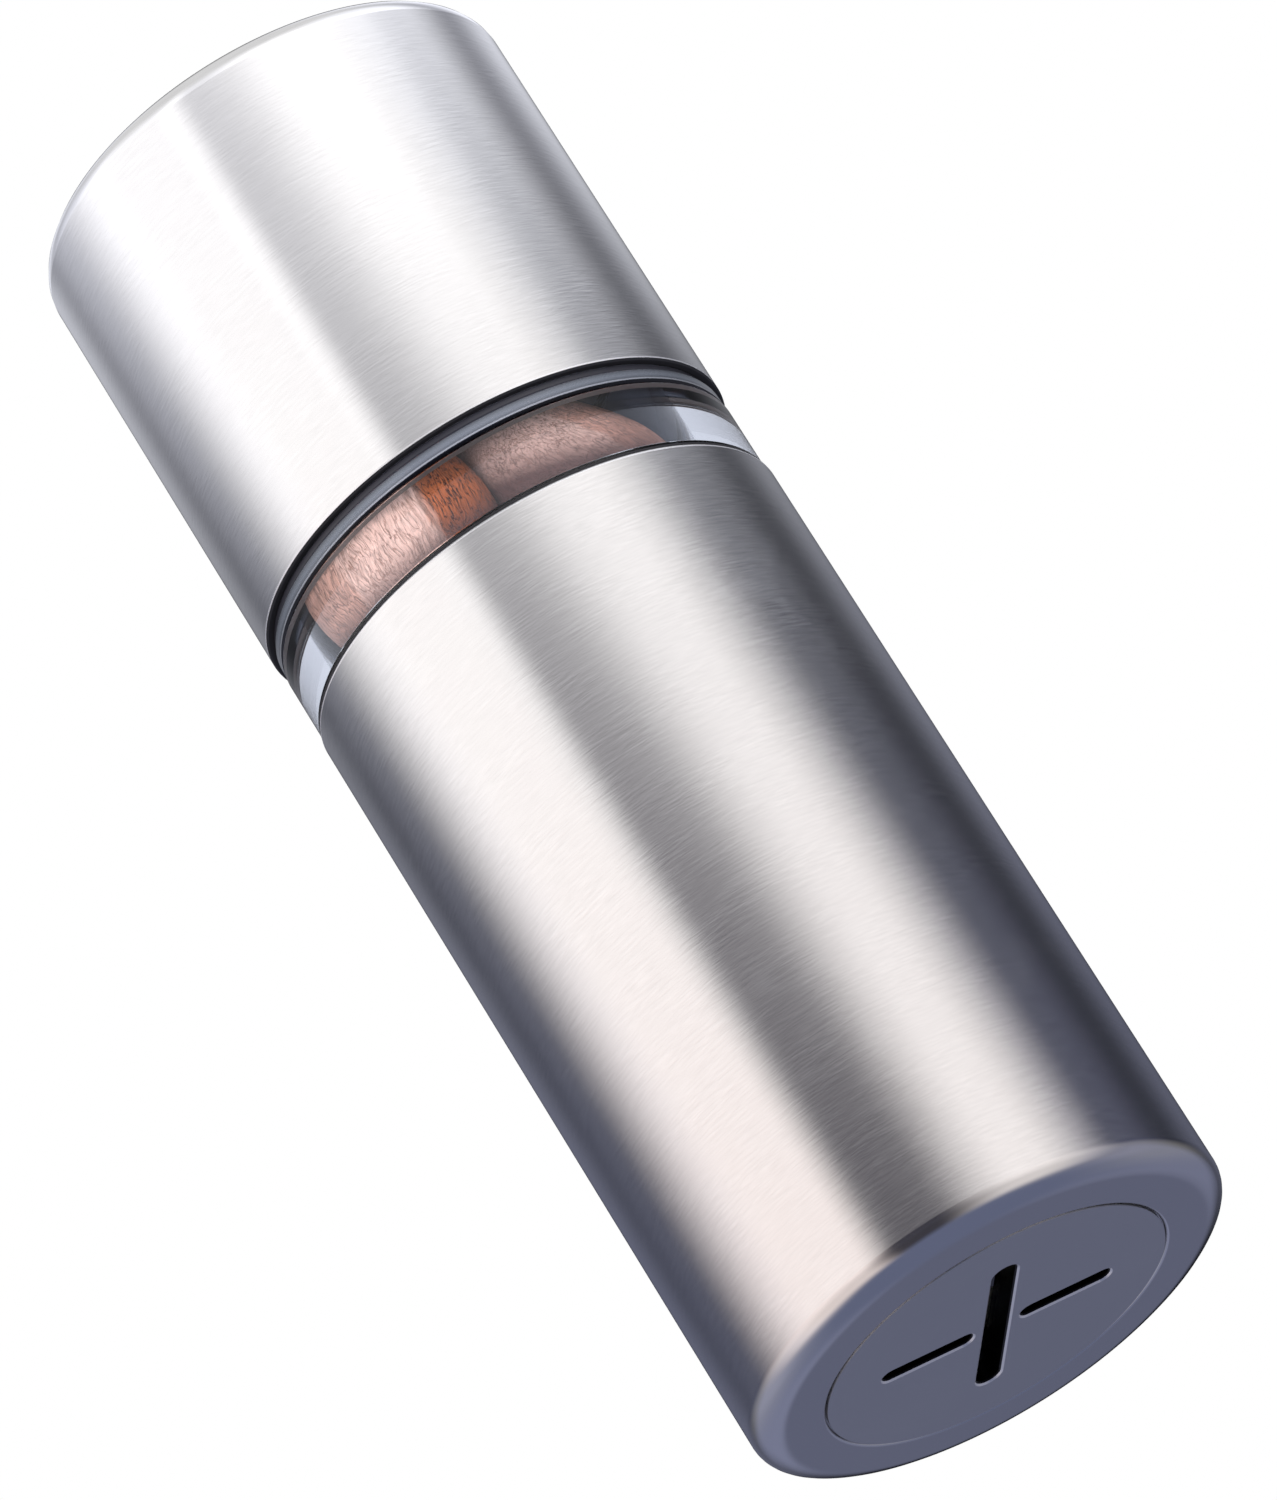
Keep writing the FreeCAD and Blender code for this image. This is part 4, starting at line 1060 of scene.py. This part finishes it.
@dataclass
class Nutmeg:
    """One stored nutmeg: how it leans, which random skin it has, and where it is rubbed brown."""

    node: str
    seed: int
    lean: float = 0.0
    lean_side: float = 0.0
    # Places rubbed brown: bearing round the nutmeg's own axis, level as a share of its half length,
    # radius, and how brown.
    rubbed: tuple[tuple[float, float, float, float], ...] = ()
    # Bearing of the seam that runs from end to end.
    seam: float = 90.0
    # Places that swell: bearing, level, radius and height.
    swells: tuple[tuple[float, float, float, float], ...] = ()
    # Heights between which the painted shade at its lower end fades out, as seen at the tube's wall.
    painted_shade_heights: tuple[float, float] = (87.1 * MM, 90.1 * MM)
    # A painted shadow where it lies on another one: bearing, level, radius and strength.
    painted_shadow_spot: tuple[float, float, float, float] = (0.0, 0.0, 1.0, 0.0)
    # How much its upper end is drawn out, and how much fuller it is there.
    longer: float = 0.0
    fuller: float = 0.0


@dataclass(frozen=True)
class Waves:
    """Random waves in a nutmeg's skin: mean length along each axis, number, and what they add to its seed."""

    lengths: Point
    count: int
    seed: int

    def at(self, points: np.ndarray, seed: int) -> np.ndarray:
        """The waves at the points of a nutmeg with a seed of its own."""
        return ripples(points, self.lengths, self.count, seed + self.seed)


LUMPS = Waves((9 * MM, 9 * MM, 12 * MM), 24, 0)
WARPS = tuple(Waves((4 * MM,) * 3, 20, seed) for seed in (1, 2, 3))
CREASES = Waves((2 * MM, 2 * MM, 10 * MM), 60, 4)
CREASE_STRENGTH = Waves((5 * MM,) * 3, 20, 5)
RAGGED_OUTLINE = Waves((1.2 * MM, 1.2 * MM, 5 * MM), 20, 6)
SEAM_SWAY = Waves((3 * MM,) * 3, 12, 7)


@dataclass
class Egg:
    """An egg with its axis upright and its middle at the origin.

    Its point at the polar angle v, counted from the lower end, and the bearing u is
    (R sin v cos u, R sin v sin u, -H cos v). Its belt there is sin v, and its level -cos v.
    """

    radius: float
    half: float
    rows: int
    columns: int

    def __post_init__(self) -> None:
        """Work out the points row by row, with the bearing, belt and level of each."""
        polar = np.linspace(0, math.pi, self.rows)[:, None]
        bearing = np.linspace(0, 2 * math.pi, self.columns, endpoint=False)[None]
        self.bearing, self.belt, self.level = (
            np.broadcast_to(part, (self.rows, self.columns)).ravel()
            for part in (bearing, np.sin(polar), -np.cos(polar)))
        cosine, sine = np.cos(self.bearing), np.sin(self.bearing)
        shape = np.stack([self.belt * cosine, self.belt * sine, self.level], axis=1)
        self.points = shape * np.array([self.radius, self.radius, self.half])

    def away(self, bearing: float, level: float, along: float = 1.0) -> np.ndarray:
        """Distance of each point from a place on the egg's side.

        Args:
            bearing: the place's bearing in degrees.
            level: its level, as a share of the egg's half length.
            along: how much lengths along the axis count.

        Returns:
            One distance for each point.
        """
        side, reach = math.radians(bearing), self.radius * math.sqrt(1 - level ** 2)
        place = np.array([reach * math.cos(side), reach * math.sin(side), level * self.half])
        return np.linalg.norm((self.points - place) * np.array([1.0, 1.0, along]), axis=1)


@dataclass
class StoredNutmegs(SubAssembly):
    """The three spare nutmegs in the storage tube."""

    rows: int = 190
    columns: int = 460
    # Depths of the lumps, of the coarse creases and of the pit at the lower end.
    lump_depth: float = 0.22 * MM
    crease_depth: float = 0.06 * MM
    pit_depth: float = 0.5 * MM
    # The creases' half width, as a share of their waves' height, how far slower waves bend them, and
    # between which of their heights other waves make them stronger, from the least strength up to one.
    crease_width: float = 0.38
    crease_bend: float = 0.28 * MM
    crease_range: tuple[float, float] = (-1.2, 1.0)
    least_crease: float = 0.35
    # The seam is a low ridge between two grooves: their depth, half width and distance from its middle,
    # and how far it sways.
    seam_depth: float = 0.12 * MM
    seam_width: float = 0.2 * MM
    seam_reach: float = 0.42 * MM
    seam_sway: float = 0.12 * MM
    # Belts between which the seam fades in, and the belt up to which the pit reaches.
    seam_fade: tuple[float, float] = (0.1, 0.6)
    pit_belt: float = 0.32
    # How dark the creases and the seam are drawn.
    crease_tone: float = 0.2
    seam_tone: float = 0.8
    # How much lengths along a nutmeg count in the outline of a swelling or a rubbed place.
    drawn_out: float = 0.35
    # How ragged and how soft the outline of a rubbed place is.
    ragged: float = 0.2 * MM
    soft: float = 0.3 * MM
    # How much higher the painted shade reaches for each length away from the tube's wall.
    painted_shade_slope: float = 0.49
    storage_bore: float = STORAGE_BORE
    stored: tuple[Nutmeg, ...] = (
        Nutmeg("nutmeg_1", 11, seam=-84.0,
               rubbed=((-48.0, 0.0, 5.1 * MM, 1.0), (-172.0, -0.3, 4.5 * MM, 0.4)),
               swells=((-36.0, 0.1, 4.5 * MM, 1.1 * MM), (163.0, -0.2, 4.0 * MM, 0.7 * MM))),
        # The second nutmeg's painted shade reaches higher, and it has a painted shadow near its upper end.
        Nutmeg("nutmeg_2", 23, lean=32.3, lean_side=198.4, rubbed=((-42.0, 0.3, 4.5 * MM, 0.45),), seam=60.0,
               painted_shade_heights=(89.0 * MM, 93.2 * MM), painted_shadow_spot=(175.0, 0.9, 4.5 * MM, 0.95), longer=0.28,
               fuller=0.25),
        Nutmeg("nutmeg_3", 37, rubbed=((20.0, 0.1, 4.0 * MM, 0.5),), seam=-60.0),
    )

    body = Body.HEAD

    def make(self) -> None:
        """Make the three nutmegs; the first one, which stands upright, gives their common radius."""
        low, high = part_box(self.stored[0].node)
        radius = (high.x - low.x) / 2
        for nutmeg in self.stored:
            self.nutmeg(nutmeg, radius)

    def nutmeg(self, spec: Nutmeg, radius: float) -> None:
        """Make one nutmeg: an egg with a worked skin, which leans in its place.

        Args:
            spec: what is special about this nutmeg.
            radius: the egg's radius.
        """
        low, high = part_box(spec.node)
        centre = np.array((low + high) / 2)
        lean = math.radians(spec.lean)
        rise = (high.z - low.z) / 2
        half = math.sqrt(rise ** 2 - (radius * math.sin(lean)) ** 2) / math.cos(lean)
        egg = Egg(radius, half, self.rows, self.columns)
        creases, seam = self.creases(spec, egg), self.seam(spec, egg)
        points = self.shaped(spec, egg, creases, seam)
        points = points @ self.leaning(lean, math.radians(spec.lean_side)).T + centre
        grid = points.reshape(self.rows, self.columns, 3)
        grid[[0, -1]] = grid[[0, -1]].mean(axis=1, keepdims=True)
        drawn = np.maximum(self.crease_tone * creases, self.seam_tone * seam)
        # The painted shade goes with the other values into the mesh.
        values = {"crease": drawn, "rubbed": self.rubbed(spec, egg),
                  "stain": self.stain(spec, egg, points), "own_place": egg.points}
        inside = slice(self.columns - 1, len(points) - self.columns + 1)
        made = grid_surface(grid, False).piece(
            f"{spec.node}_furrowed", {name: numbers[inside] for name, numbers in values.items()})
        self.stand_for(spec.node, made, NUTMEG_SKIN)

    def creases(self, spec: Nutmeg, egg: Egg) -> np.ndarray:
        """Coarse creases from 0 to 1, where bent waves drawn out along the axis pass through zero."""
        bend = np.stack([waves.at(egg.points, spec.seed) for waves in WARPS], axis=1)
        heights = CREASES.at(egg.points + bend * self.crease_bend, spec.seed)
        strength = smooth_step(*self.crease_range, CREASE_STRENGTH.at(egg.points, spec.seed))
        more = (1 - self.least_crease) * strength
        return np.exp(-(heights / self.crease_width) ** 2) * (self.least_crease + more)

    def seam(self, spec: Nutmeg, egg: Egg) -> np.ndarray:
        """The seam's two grooves from 0 to 1, which fade out towards the egg's ends."""
        turn = np.angle(np.exp(1j * (egg.bearing - math.radians(spec.seam))))
        aside = turn * egg.radius * egg.belt + self.seam_sway * SEAM_SWAY.at(egg.points, spec.seed)
        grooves = np.exp(-((np.abs(aside) - self.seam_reach) / self.seam_width) ** 2)
        return grooves * smooth_step(*self.seam_fade, egg.belt)

    def shaped(self, spec: Nutmeg, egg: Egg, creases: np.ndarray, seam: np.ndarray) -> np.ndarray:
        """The egg's points with lumps, creases and seam inwards, swellings outwards, and a pit.

        Args:
            spec: what is special about this nutmeg.
            egg: its plain shape.
            creases: the depth of the creases at each point, from 0 to 1.
            seam: that of the seam.

        Returns:
            One place for each point.
        """
        lumps = 0.5 + 0.25 * LUMPS.at(egg.points, spec.seed)
        depth = (self.lump_depth * lumps + self.crease_depth * creases + self.seam_depth * seam) * egg.belt
        for bearing, level, size, height in spec.swells:
            depth = depth - height * np.exp(-(egg.away(bearing, level, self.drawn_out) / size) ** 2)
        upper = np.maximum(egg.level, 0) ** 4
        share = (1 - depth / egg.radius) * (1 + spec.fuller * upper)
        points = egg.points * np.stack([share, share, np.ones_like(share)], axis=1)
        pit = smooth_step(self.pit_belt, 0.0, egg.belt) * (egg.level < 0)
        points[:, 2] += pit * self.pit_depth + spec.longer * upper * egg.half
        return points

    def rubbed(self, spec: Nutmeg, egg: Egg) -> np.ndarray:
        """How brown each point is rubbed, from 0 to 1, inside a ragged outline round each rubbed place."""
        ragged = self.ragged * RAGGED_OUTLINE.at(egg.points, spec.seed)
        rubbed = np.zeros(len(egg.points))
        for bearing, level, size, strength in spec.rubbed:
            away = egg.away(bearing, level, self.drawn_out) + ragged
            rubbed = np.maximum(rubbed, strength * smooth_step(size + self.soft, size - self.soft, away))
        return rubbed

    def stain(self, spec: Nutmeg, egg: Egg, points: np.ndarray) -> np.ndarray:
        """How dark each placed point is painted, from 0 to 1: painted shade towards the lower end, and a
        painted shadow where it lies on another nutmeg.
        """
        bottom, top = spec.painted_shade_heights
        level_at_wall = points[:, 2] - self.painted_shade_slope * (self.storage_bore - np.hypot(*points[:, :2].T))
        stain = np.clip((top - level_at_wall) / (top - bottom), 0, 1)
        bearing, level, size, strength = spec.painted_shadow_spot
        return np.maximum(stain, strength * np.exp(-(egg.away(bearing, level) / size) ** 2))

    @staticmethod
    def leaning(lean: float, side: float) -> np.ndarray:
        """The rotation that leans the upright direction by an angle towards a bearing."""
        across = np.array([-math.sin(side), math.cos(side), 0.0])
        cross = np.array([[0, -across[2], across[1]], [across[2], 0, -across[0]], [-across[1], across[0], 0]])
        return np.eye(3) + math.sin(lean) * cross + (1 - math.cos(lean)) * cross @ cross


@dataclass
class Pusher(SubAssembly):
    """The sprung disc that presses the nutmeg on the blades."""

    body = Body.PUSHER
    kept = {"pusher": WHITE_PLASTIC, "pusher_spikes": BLADE_STEEL}


@dataclass
class Cap(SubAssembly):
    """The upper steel shell with its liner."""

    sheet: float = 0.8 * MM
    top_round: float = 2.5 * MM
    rim_bevel: float = 0.18 * MM
    # Height of the band of bright steel over the rim's bevel, a painted highlight line.
    rim_highlight_line: float = 0.18 * MM

    body = Body.CAP
    kept = {"cap_liner": GREY_PLASTIC}

    def make(self) -> None:
        """Turn the shell: a tube with a flat closed top, a rounded shoulder and a bevelled rim."""
        radius, low, high = self.reach("cap_shell")
        bore, ceiling, bevel_top = radius - self.sheet, high - self.sheet, low + self.rim_bevel
        made = self.lathe("cap_shell", (
            (0, ceiling, 0), (bore, ceiling, self.top_round - self.sheet), (bore, low),
            (radius - self.rim_bevel, low), (radius, bevel_top, self.edge / 2),
            (radius, bevel_top + self.rim_highlight_line, 0), (radius, high, self.top_round), (0, high, 0)),
            BRUSHED_STEEL)
        # The rim's bevel is black: a painted shadow line, as of a gap between the cap and the seal. Over it,
        # the band of bright steel is a painted highlight line.
        self.band(made, BLACK_RUBBER, low - self.edge, bevel_top)
        self.band(made, RIM_HIGHLIGHT, bevel_top, bevel_top + self.rim_highlight_line)


# ---------------------------------------------------------------- studio

@dataclass(frozen=True)
class Panel:
    """A soft panel of light that only the steel mirrors, placed by its bearings round the mill.

    Bearings are in degrees from the camera's side, positive to its right. The light rises from the
    first of the span's bearings to the second one, and falls from the third to the fourth. A panel on
    both sides has its span mirrored. Its five strengths are those at the studio's five levels, from
    below the horizon to high up, and its tint goes from the lower to the upper one.
    """

    span: tuple[float, float, float, float]
    strengths: tuple[float, float, float, float, float]
    lower_tint: Colour = (1.0, 1.0, 1.0)
    upper_tint: Colour = (1.0, 1.0, 1.0)
    both_sides: bool = False


@dataclass(frozen=True)
class Lamp:
    """An area lamp that shines on the middle of the mill."""

    place: Point
    size: float
    watts: float


@dataclass
class Studio:
    """A pale floor, a white surround, soft lamps, and the panels that the steel mirrors."""

    # Bearing of the camera's side of the mill, in degrees from +X.
    front: float = -107.7
    # Heights above the horizon, in degrees, of the five levels that the panels' strengths belong to.
    levels: tuple[float, float, float, float, float] = (-14.0, 0.0, 14.0, 26.0, 30.0)
    # Up to here the third level's strength holds.
    level_end: float = 22.6
    panels: tuple[Panel, ...] = (
        Panel((-178, -166, 158, 172), (0.03, 0.04, 0.035, 0.05, 0.47), (0.86, 0.92, 1.32), (0.95, 0.97, 1.1)),
        Panel((-118, -63, -36, -18), (0.8, 0.9, 1.08, 0.0, 0.0), (1.0, 0.87, 0.83)),
        Panel((-118, -63, -30, -14), (0.0, 0.0, 0.0, 1.22, 0.82), (1.0, 0.97, 0.94), (1.0, 0.985, 0.97)),
        Panel((2, 42, 50, 94), (0.75, 0.9, 1.06, 0.0, 0.0), (1.0, 0.935, 0.91)),
        Panel((-12, 30, 48, 94), (0.0, 0.0, 0.0, 0.48, 0.56), (1.0, 0.96, 0.95), (1.0, 0.985, 0.96)),
        Panel((-34, -20, 48, 84), (0.02, 0.02, 0.0, 0.42, 0.62), (1.0, 0.80, 0.85), (1.0, 0.985, 0.98)),
        Panel((-30, -14, 8, 40), (0.0, 0.0, 0.01, 0.0, 0.0), (1.0, 0.55, 0.7), (1.0, 0.8, 0.8)),
        Panel((54, 80, 98, 128), (0.08, 0.08, 0.06, 0.0, 0.9), (0.88, 0.92, 1.5), (0.98, 0.99, 1.04)),
        Panel((118, 150, 166, 176), (0.0, 0.0, 0.03, 0.08, 0.28), (0.88, 0.93, 1.3), (0.95, 0.97, 1.08)),
        Panel((-140, -112, -84, -60), (0.08, 0.08, 0.04, 0.1, 0.36), (0.88, 0.92, 1.35), (0.96, 0.975, 1.08)),
        Panel((-176, -164, -128, -98), (0.03, 0.03, 0.045, 0.03, 0.0), (0.85, 0.92, 1.4), (0.9, 0.94, 1.25)),
        Panel((128, 160, 168, 176), (0.04, 0.04, 0.06, 0.14, 0.42), (0.88, 0.92, 1.28), (0.96, 0.98, 1.05),
              True),
        Panel((60, 140, 190, 200), (0.13, 0.0, 0.0, 0.0, 0.0), (0.96, 1.04, 1.58), (1.0, 1.0, 1.0), True),
        Panel((44, 86, 124, 156), (0.10, 0.12, 0.0, 0.0, 0.0), (1.0, 0.95, 0.84), (1.0, 1.0, 1.0), True),
    )
    # Straight up and straight down the panels give way to one plain colour, between these heights.
    ceiling: Colour = (0.8, 0.8, 0.81)
    ceiling_heights: tuple[float, float] = (38.0, 70.0)
    ground: Colour = (0.13, 0.148, 0.24)
    ground_heights: tuple[float, float] = (-65.0, -32.0)
    lamps: tuple[Lamp, ...] = (
        Lamp((-0.46, -0.80, -0.20), 0.3, 11.5),
        Lamp((-0.45, -0.55, 0.75), 0.5, 4.0),
        Lamp((0.42, -0.72, -0.17), 0.35, 5.0),
        Lamp((0.1, 0.6, 0.7), 0.6, 7.0),
    )
    room_light: float = 0.5
    seen_through_clear: Colour = (0.73, 0.77, 0.88)
    floor_drop: float = 0.3 * MM
    floor_reach: float = 0.9
    floor_colour: Colour = (0.86, 0.86, 0.865)
    # Distances from the axis between which the floor fades to the white surround.
    floor_fade: tuple[float, float] = (0.10, 0.42)
    # The camera: place, heading from +X, rise and roll in degrees, and focal length on a 36 mm frame.
    camera_place: Point = (-0.286834, -0.899448, -0.367304)
    camera_heading: float = 72.3
    camera_rise: float = 24.786
    camera_roll: float = 32.11
    focal_length: float = 264.17
    clip: tuple[float, float] = (0.05, 20.0)

    def build(self) -> None:
        """Make the world, the lamps, the floor and the camera."""
        self.world()
        for number, lamp in enumerate(self.lamps, start=1):
            self.lamp(f"lamp_{number}", lamp)
        self.floor()
        self.camera()
        bpy.context.scene.view_settings.view_transform = "Standard"
        LOG.info("studio: %d panels, %d lamps", len(self.panels), len(self.lamps))

    def world(self) -> None:
        """White to the camera, plain to matt surfaces, pale behind clear ones, panels to the steel."""
        world = bpy.data.worlds.new("studio")
        bpy.context.scene.world = world
        nodes = Nodes.fresh(world)
        rays = nodes.add("ShaderNodeLightPath")
        colour = nodes.between(rays.outputs["Is Glossy Ray"], (self.room_light,) * 3, self.mirrored(nodes))
        colour = nodes.between(rays.outputs["Is Transmission Ray"], colour, self.seen_through_clear)
        colour = nodes.between(rays.outputs["Is Camera Ray"], colour, (1.0, 1.0, 1.0))
        background = nodes.add("ShaderNodeBackground", {"Color": colour, "Strength": 1.0})
        nodes.add("ShaderNodeOutputWorld", {"Surface": background.outputs[0]})

    def mirrored(self, nodes: Nodes) -> Socket:
        """The light that the steel mirrors from a direction: the panels, the ceiling and the ground.

        The bearing is the angle of the direction's level part, and the height its arcsine. The weights
        of the five levels are steps between the ramps from each to the next, and add up to one.
        """
        direction = nodes.add("ShaderNodeTexCoord").outputs["Generated"]
        front = math.radians(self.front)
        x, y = math.cos(front), math.sin(front)
        ahead, aside = (nodes.vector("DOT_PRODUCT", direction, (*axis, 0.0)) for axis in ((x, y), (-y, x)))
        bearing = nodes.maths("DEGREES", nodes.maths("ARCTAN2", aside, ahead))
        height = nodes.maths("DEGREES", nodes.maths("ARCSINE", nodes.parts(direction)[2]))
        low, horizon, level, upper, over = self.levels
        ramps = [nodes.spread(height, start, end) for start, end in (
            (low, horizon), (horizon, level), (self.level_end, upper), (upper, over))]
        steps = [nodes.minus(before, after) for before, after in zip([1.0, *ramps], ramps)]
        lower_weights, upper_weights = nodes.joined(*steps[:3]), nodes.joined(steps[3], ramps[3])
        total: Value = (0.0, 0.0, 0.0)
        for panel in self.panels:
            place = nodes.maths("ABSOLUTE", bearing) if panel.both_sides else bearing
            rise = nodes.spread(place, *panel.span[:2], smooth=True)
            fall = nodes.spread(place, *panel.span[2:], 1.0, 0.0, smooth=True)
            strength = nodes.maths(
                "ADD", nodes.vector("DOT_PRODUCT", lower_weights, panel.strengths[:3]),
                nodes.vector("DOT_PRODUCT", upper_weights, (*panel.strengths[3:], 0.0)))
            tint = nodes.between(ramps[2], panel.lower_tint, panel.upper_tint)
            light = nodes.scaled(tint, nodes.times(nodes.times(rise, fall), strength))
            total = nodes.vector("ADD", total, light)
        above = nodes.spread(height, *self.ceiling_heights, smooth=True)
        below = nodes.spread(height, *self.ground_heights, 1.0, 0.0, smooth=True)
        return nodes.between(below, nodes.between(above, total, self.ceiling), self.ground)

    def lamp(self, name: str, spec: Lamp) -> None:
        """A square soft lamp that the steel doesn't mirror, turned to the middle of the mill."""
        data = bpy.data.lights.new(name, "AREA")
        data.size = spec.size
        data.energy = spec.watts
        made = placed(name, data)
        made.location = spec.place
        low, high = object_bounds()
        away = made.location - (low + high) / 2
        made.rotation_euler = away.to_track_quat("Z", "Y").to_euler()
        made.visible_glossy = False
        made.visible_transmission = False

    def floor(self) -> None:
        """A pale round floor that keeps shadows, fades to white, and can't be seen from below."""
        radius = np.array([[0.0], [self.floor_reach]])
        angle = np.linspace(0, 2 * math.pi, FLOOR_STEPS, endpoint=False)
        grid = np.stack([radius * np.cos(angle), radius * np.sin(angle),
                         np.full((2, FLOOR_STEPS), -self.floor_drop)], axis=-1)
        surface = grid_surface(grid, False)
        # Away from the origin, which lies over the floor, is downwards. The floor faces up.
        surface.triangles = surface.triangles[:, ::-1]
        made = surface.piece("floor")
        made.data.materials.append(self.floor_material())
        for rays in ("diffuse", "glossy", "transmission", "shadow"):
            setattr(made, f"visible_{rays}", False)
        made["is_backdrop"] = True

    def floor_material(self) -> bpy.types.Material:
        """Matt near the mill and glowing white far from it; nothing on its underside."""
        made = bpy.data.materials.new("pale_floor")
        nodes = Nodes.fresh(made)
        distance = nodes.vector("LENGTH", nodes.place())
        far = nodes.spread(distance, *self.floor_fade, smooth=True)
        matt = nodes.add("ShaderNodeBsdfDiffuse", {"Color": self.floor_colour})
        white = nodes.add("ShaderNodeEmission", {"Color": (1.0, 1.0, 1.0)})
        top = nodes.mixed(far, matt.outputs[0], white.outputs[0])
        nothing = nodes.add("ShaderNodeBsdfTransparent")
        below = nodes.add("ShaderNodeNewGeometry").outputs["Backfacing"]
        nodes.add("ShaderNodeOutputMaterial", {"Surface": nodes.mixed(below, top, nothing.outputs[0])})
        return made

    def camera(self) -> None:
        """A long lens that looks up at the mill from below, rolled so that the mill leans to the left."""
        heading, rise, roll = (math.radians(angle) for angle in (
            self.camera_heading, self.camera_rise, self.camera_roll))
        ahead = np.array([math.cos(heading) * math.cos(rise), math.sin(heading) * math.cos(rise),
                          math.sin(rise)])
        level = np.array([math.sin(heading), -math.cos(heading), 0.0])
        upright = np.cross(level, ahead)
        right = math.cos(roll) * level - math.sin(roll) * upright
        above = np.cross(right, ahead)
        data = bpy.data.cameras.new("camera")
        data.lens = self.focal_length
        data.clip_start, data.clip_end = self.clip
        made = placed("camera", data)
        matrix = np.eye(4)
        matrix[:3, :3] = np.stack([right, above, -ahead], axis=1)
        matrix[:3, 3] = self.camera_place
        made.matrix_world = Matrix(matrix.tolist())
        bpy.context.scene.camera = made


def main() -> None:
    """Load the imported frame, dress it, and set it in the studio."""
    logging.basicConfig(level=logging.INFO, format="%(name)s: %(message)s")
    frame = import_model()
    for assembly in (LowerShell, Plug, Head, StoredNutmegs, Pusher, Cap):
        assembly(frame["nodes"]).build()
    Studio().build()


if __name__ == "__main__":
    main()
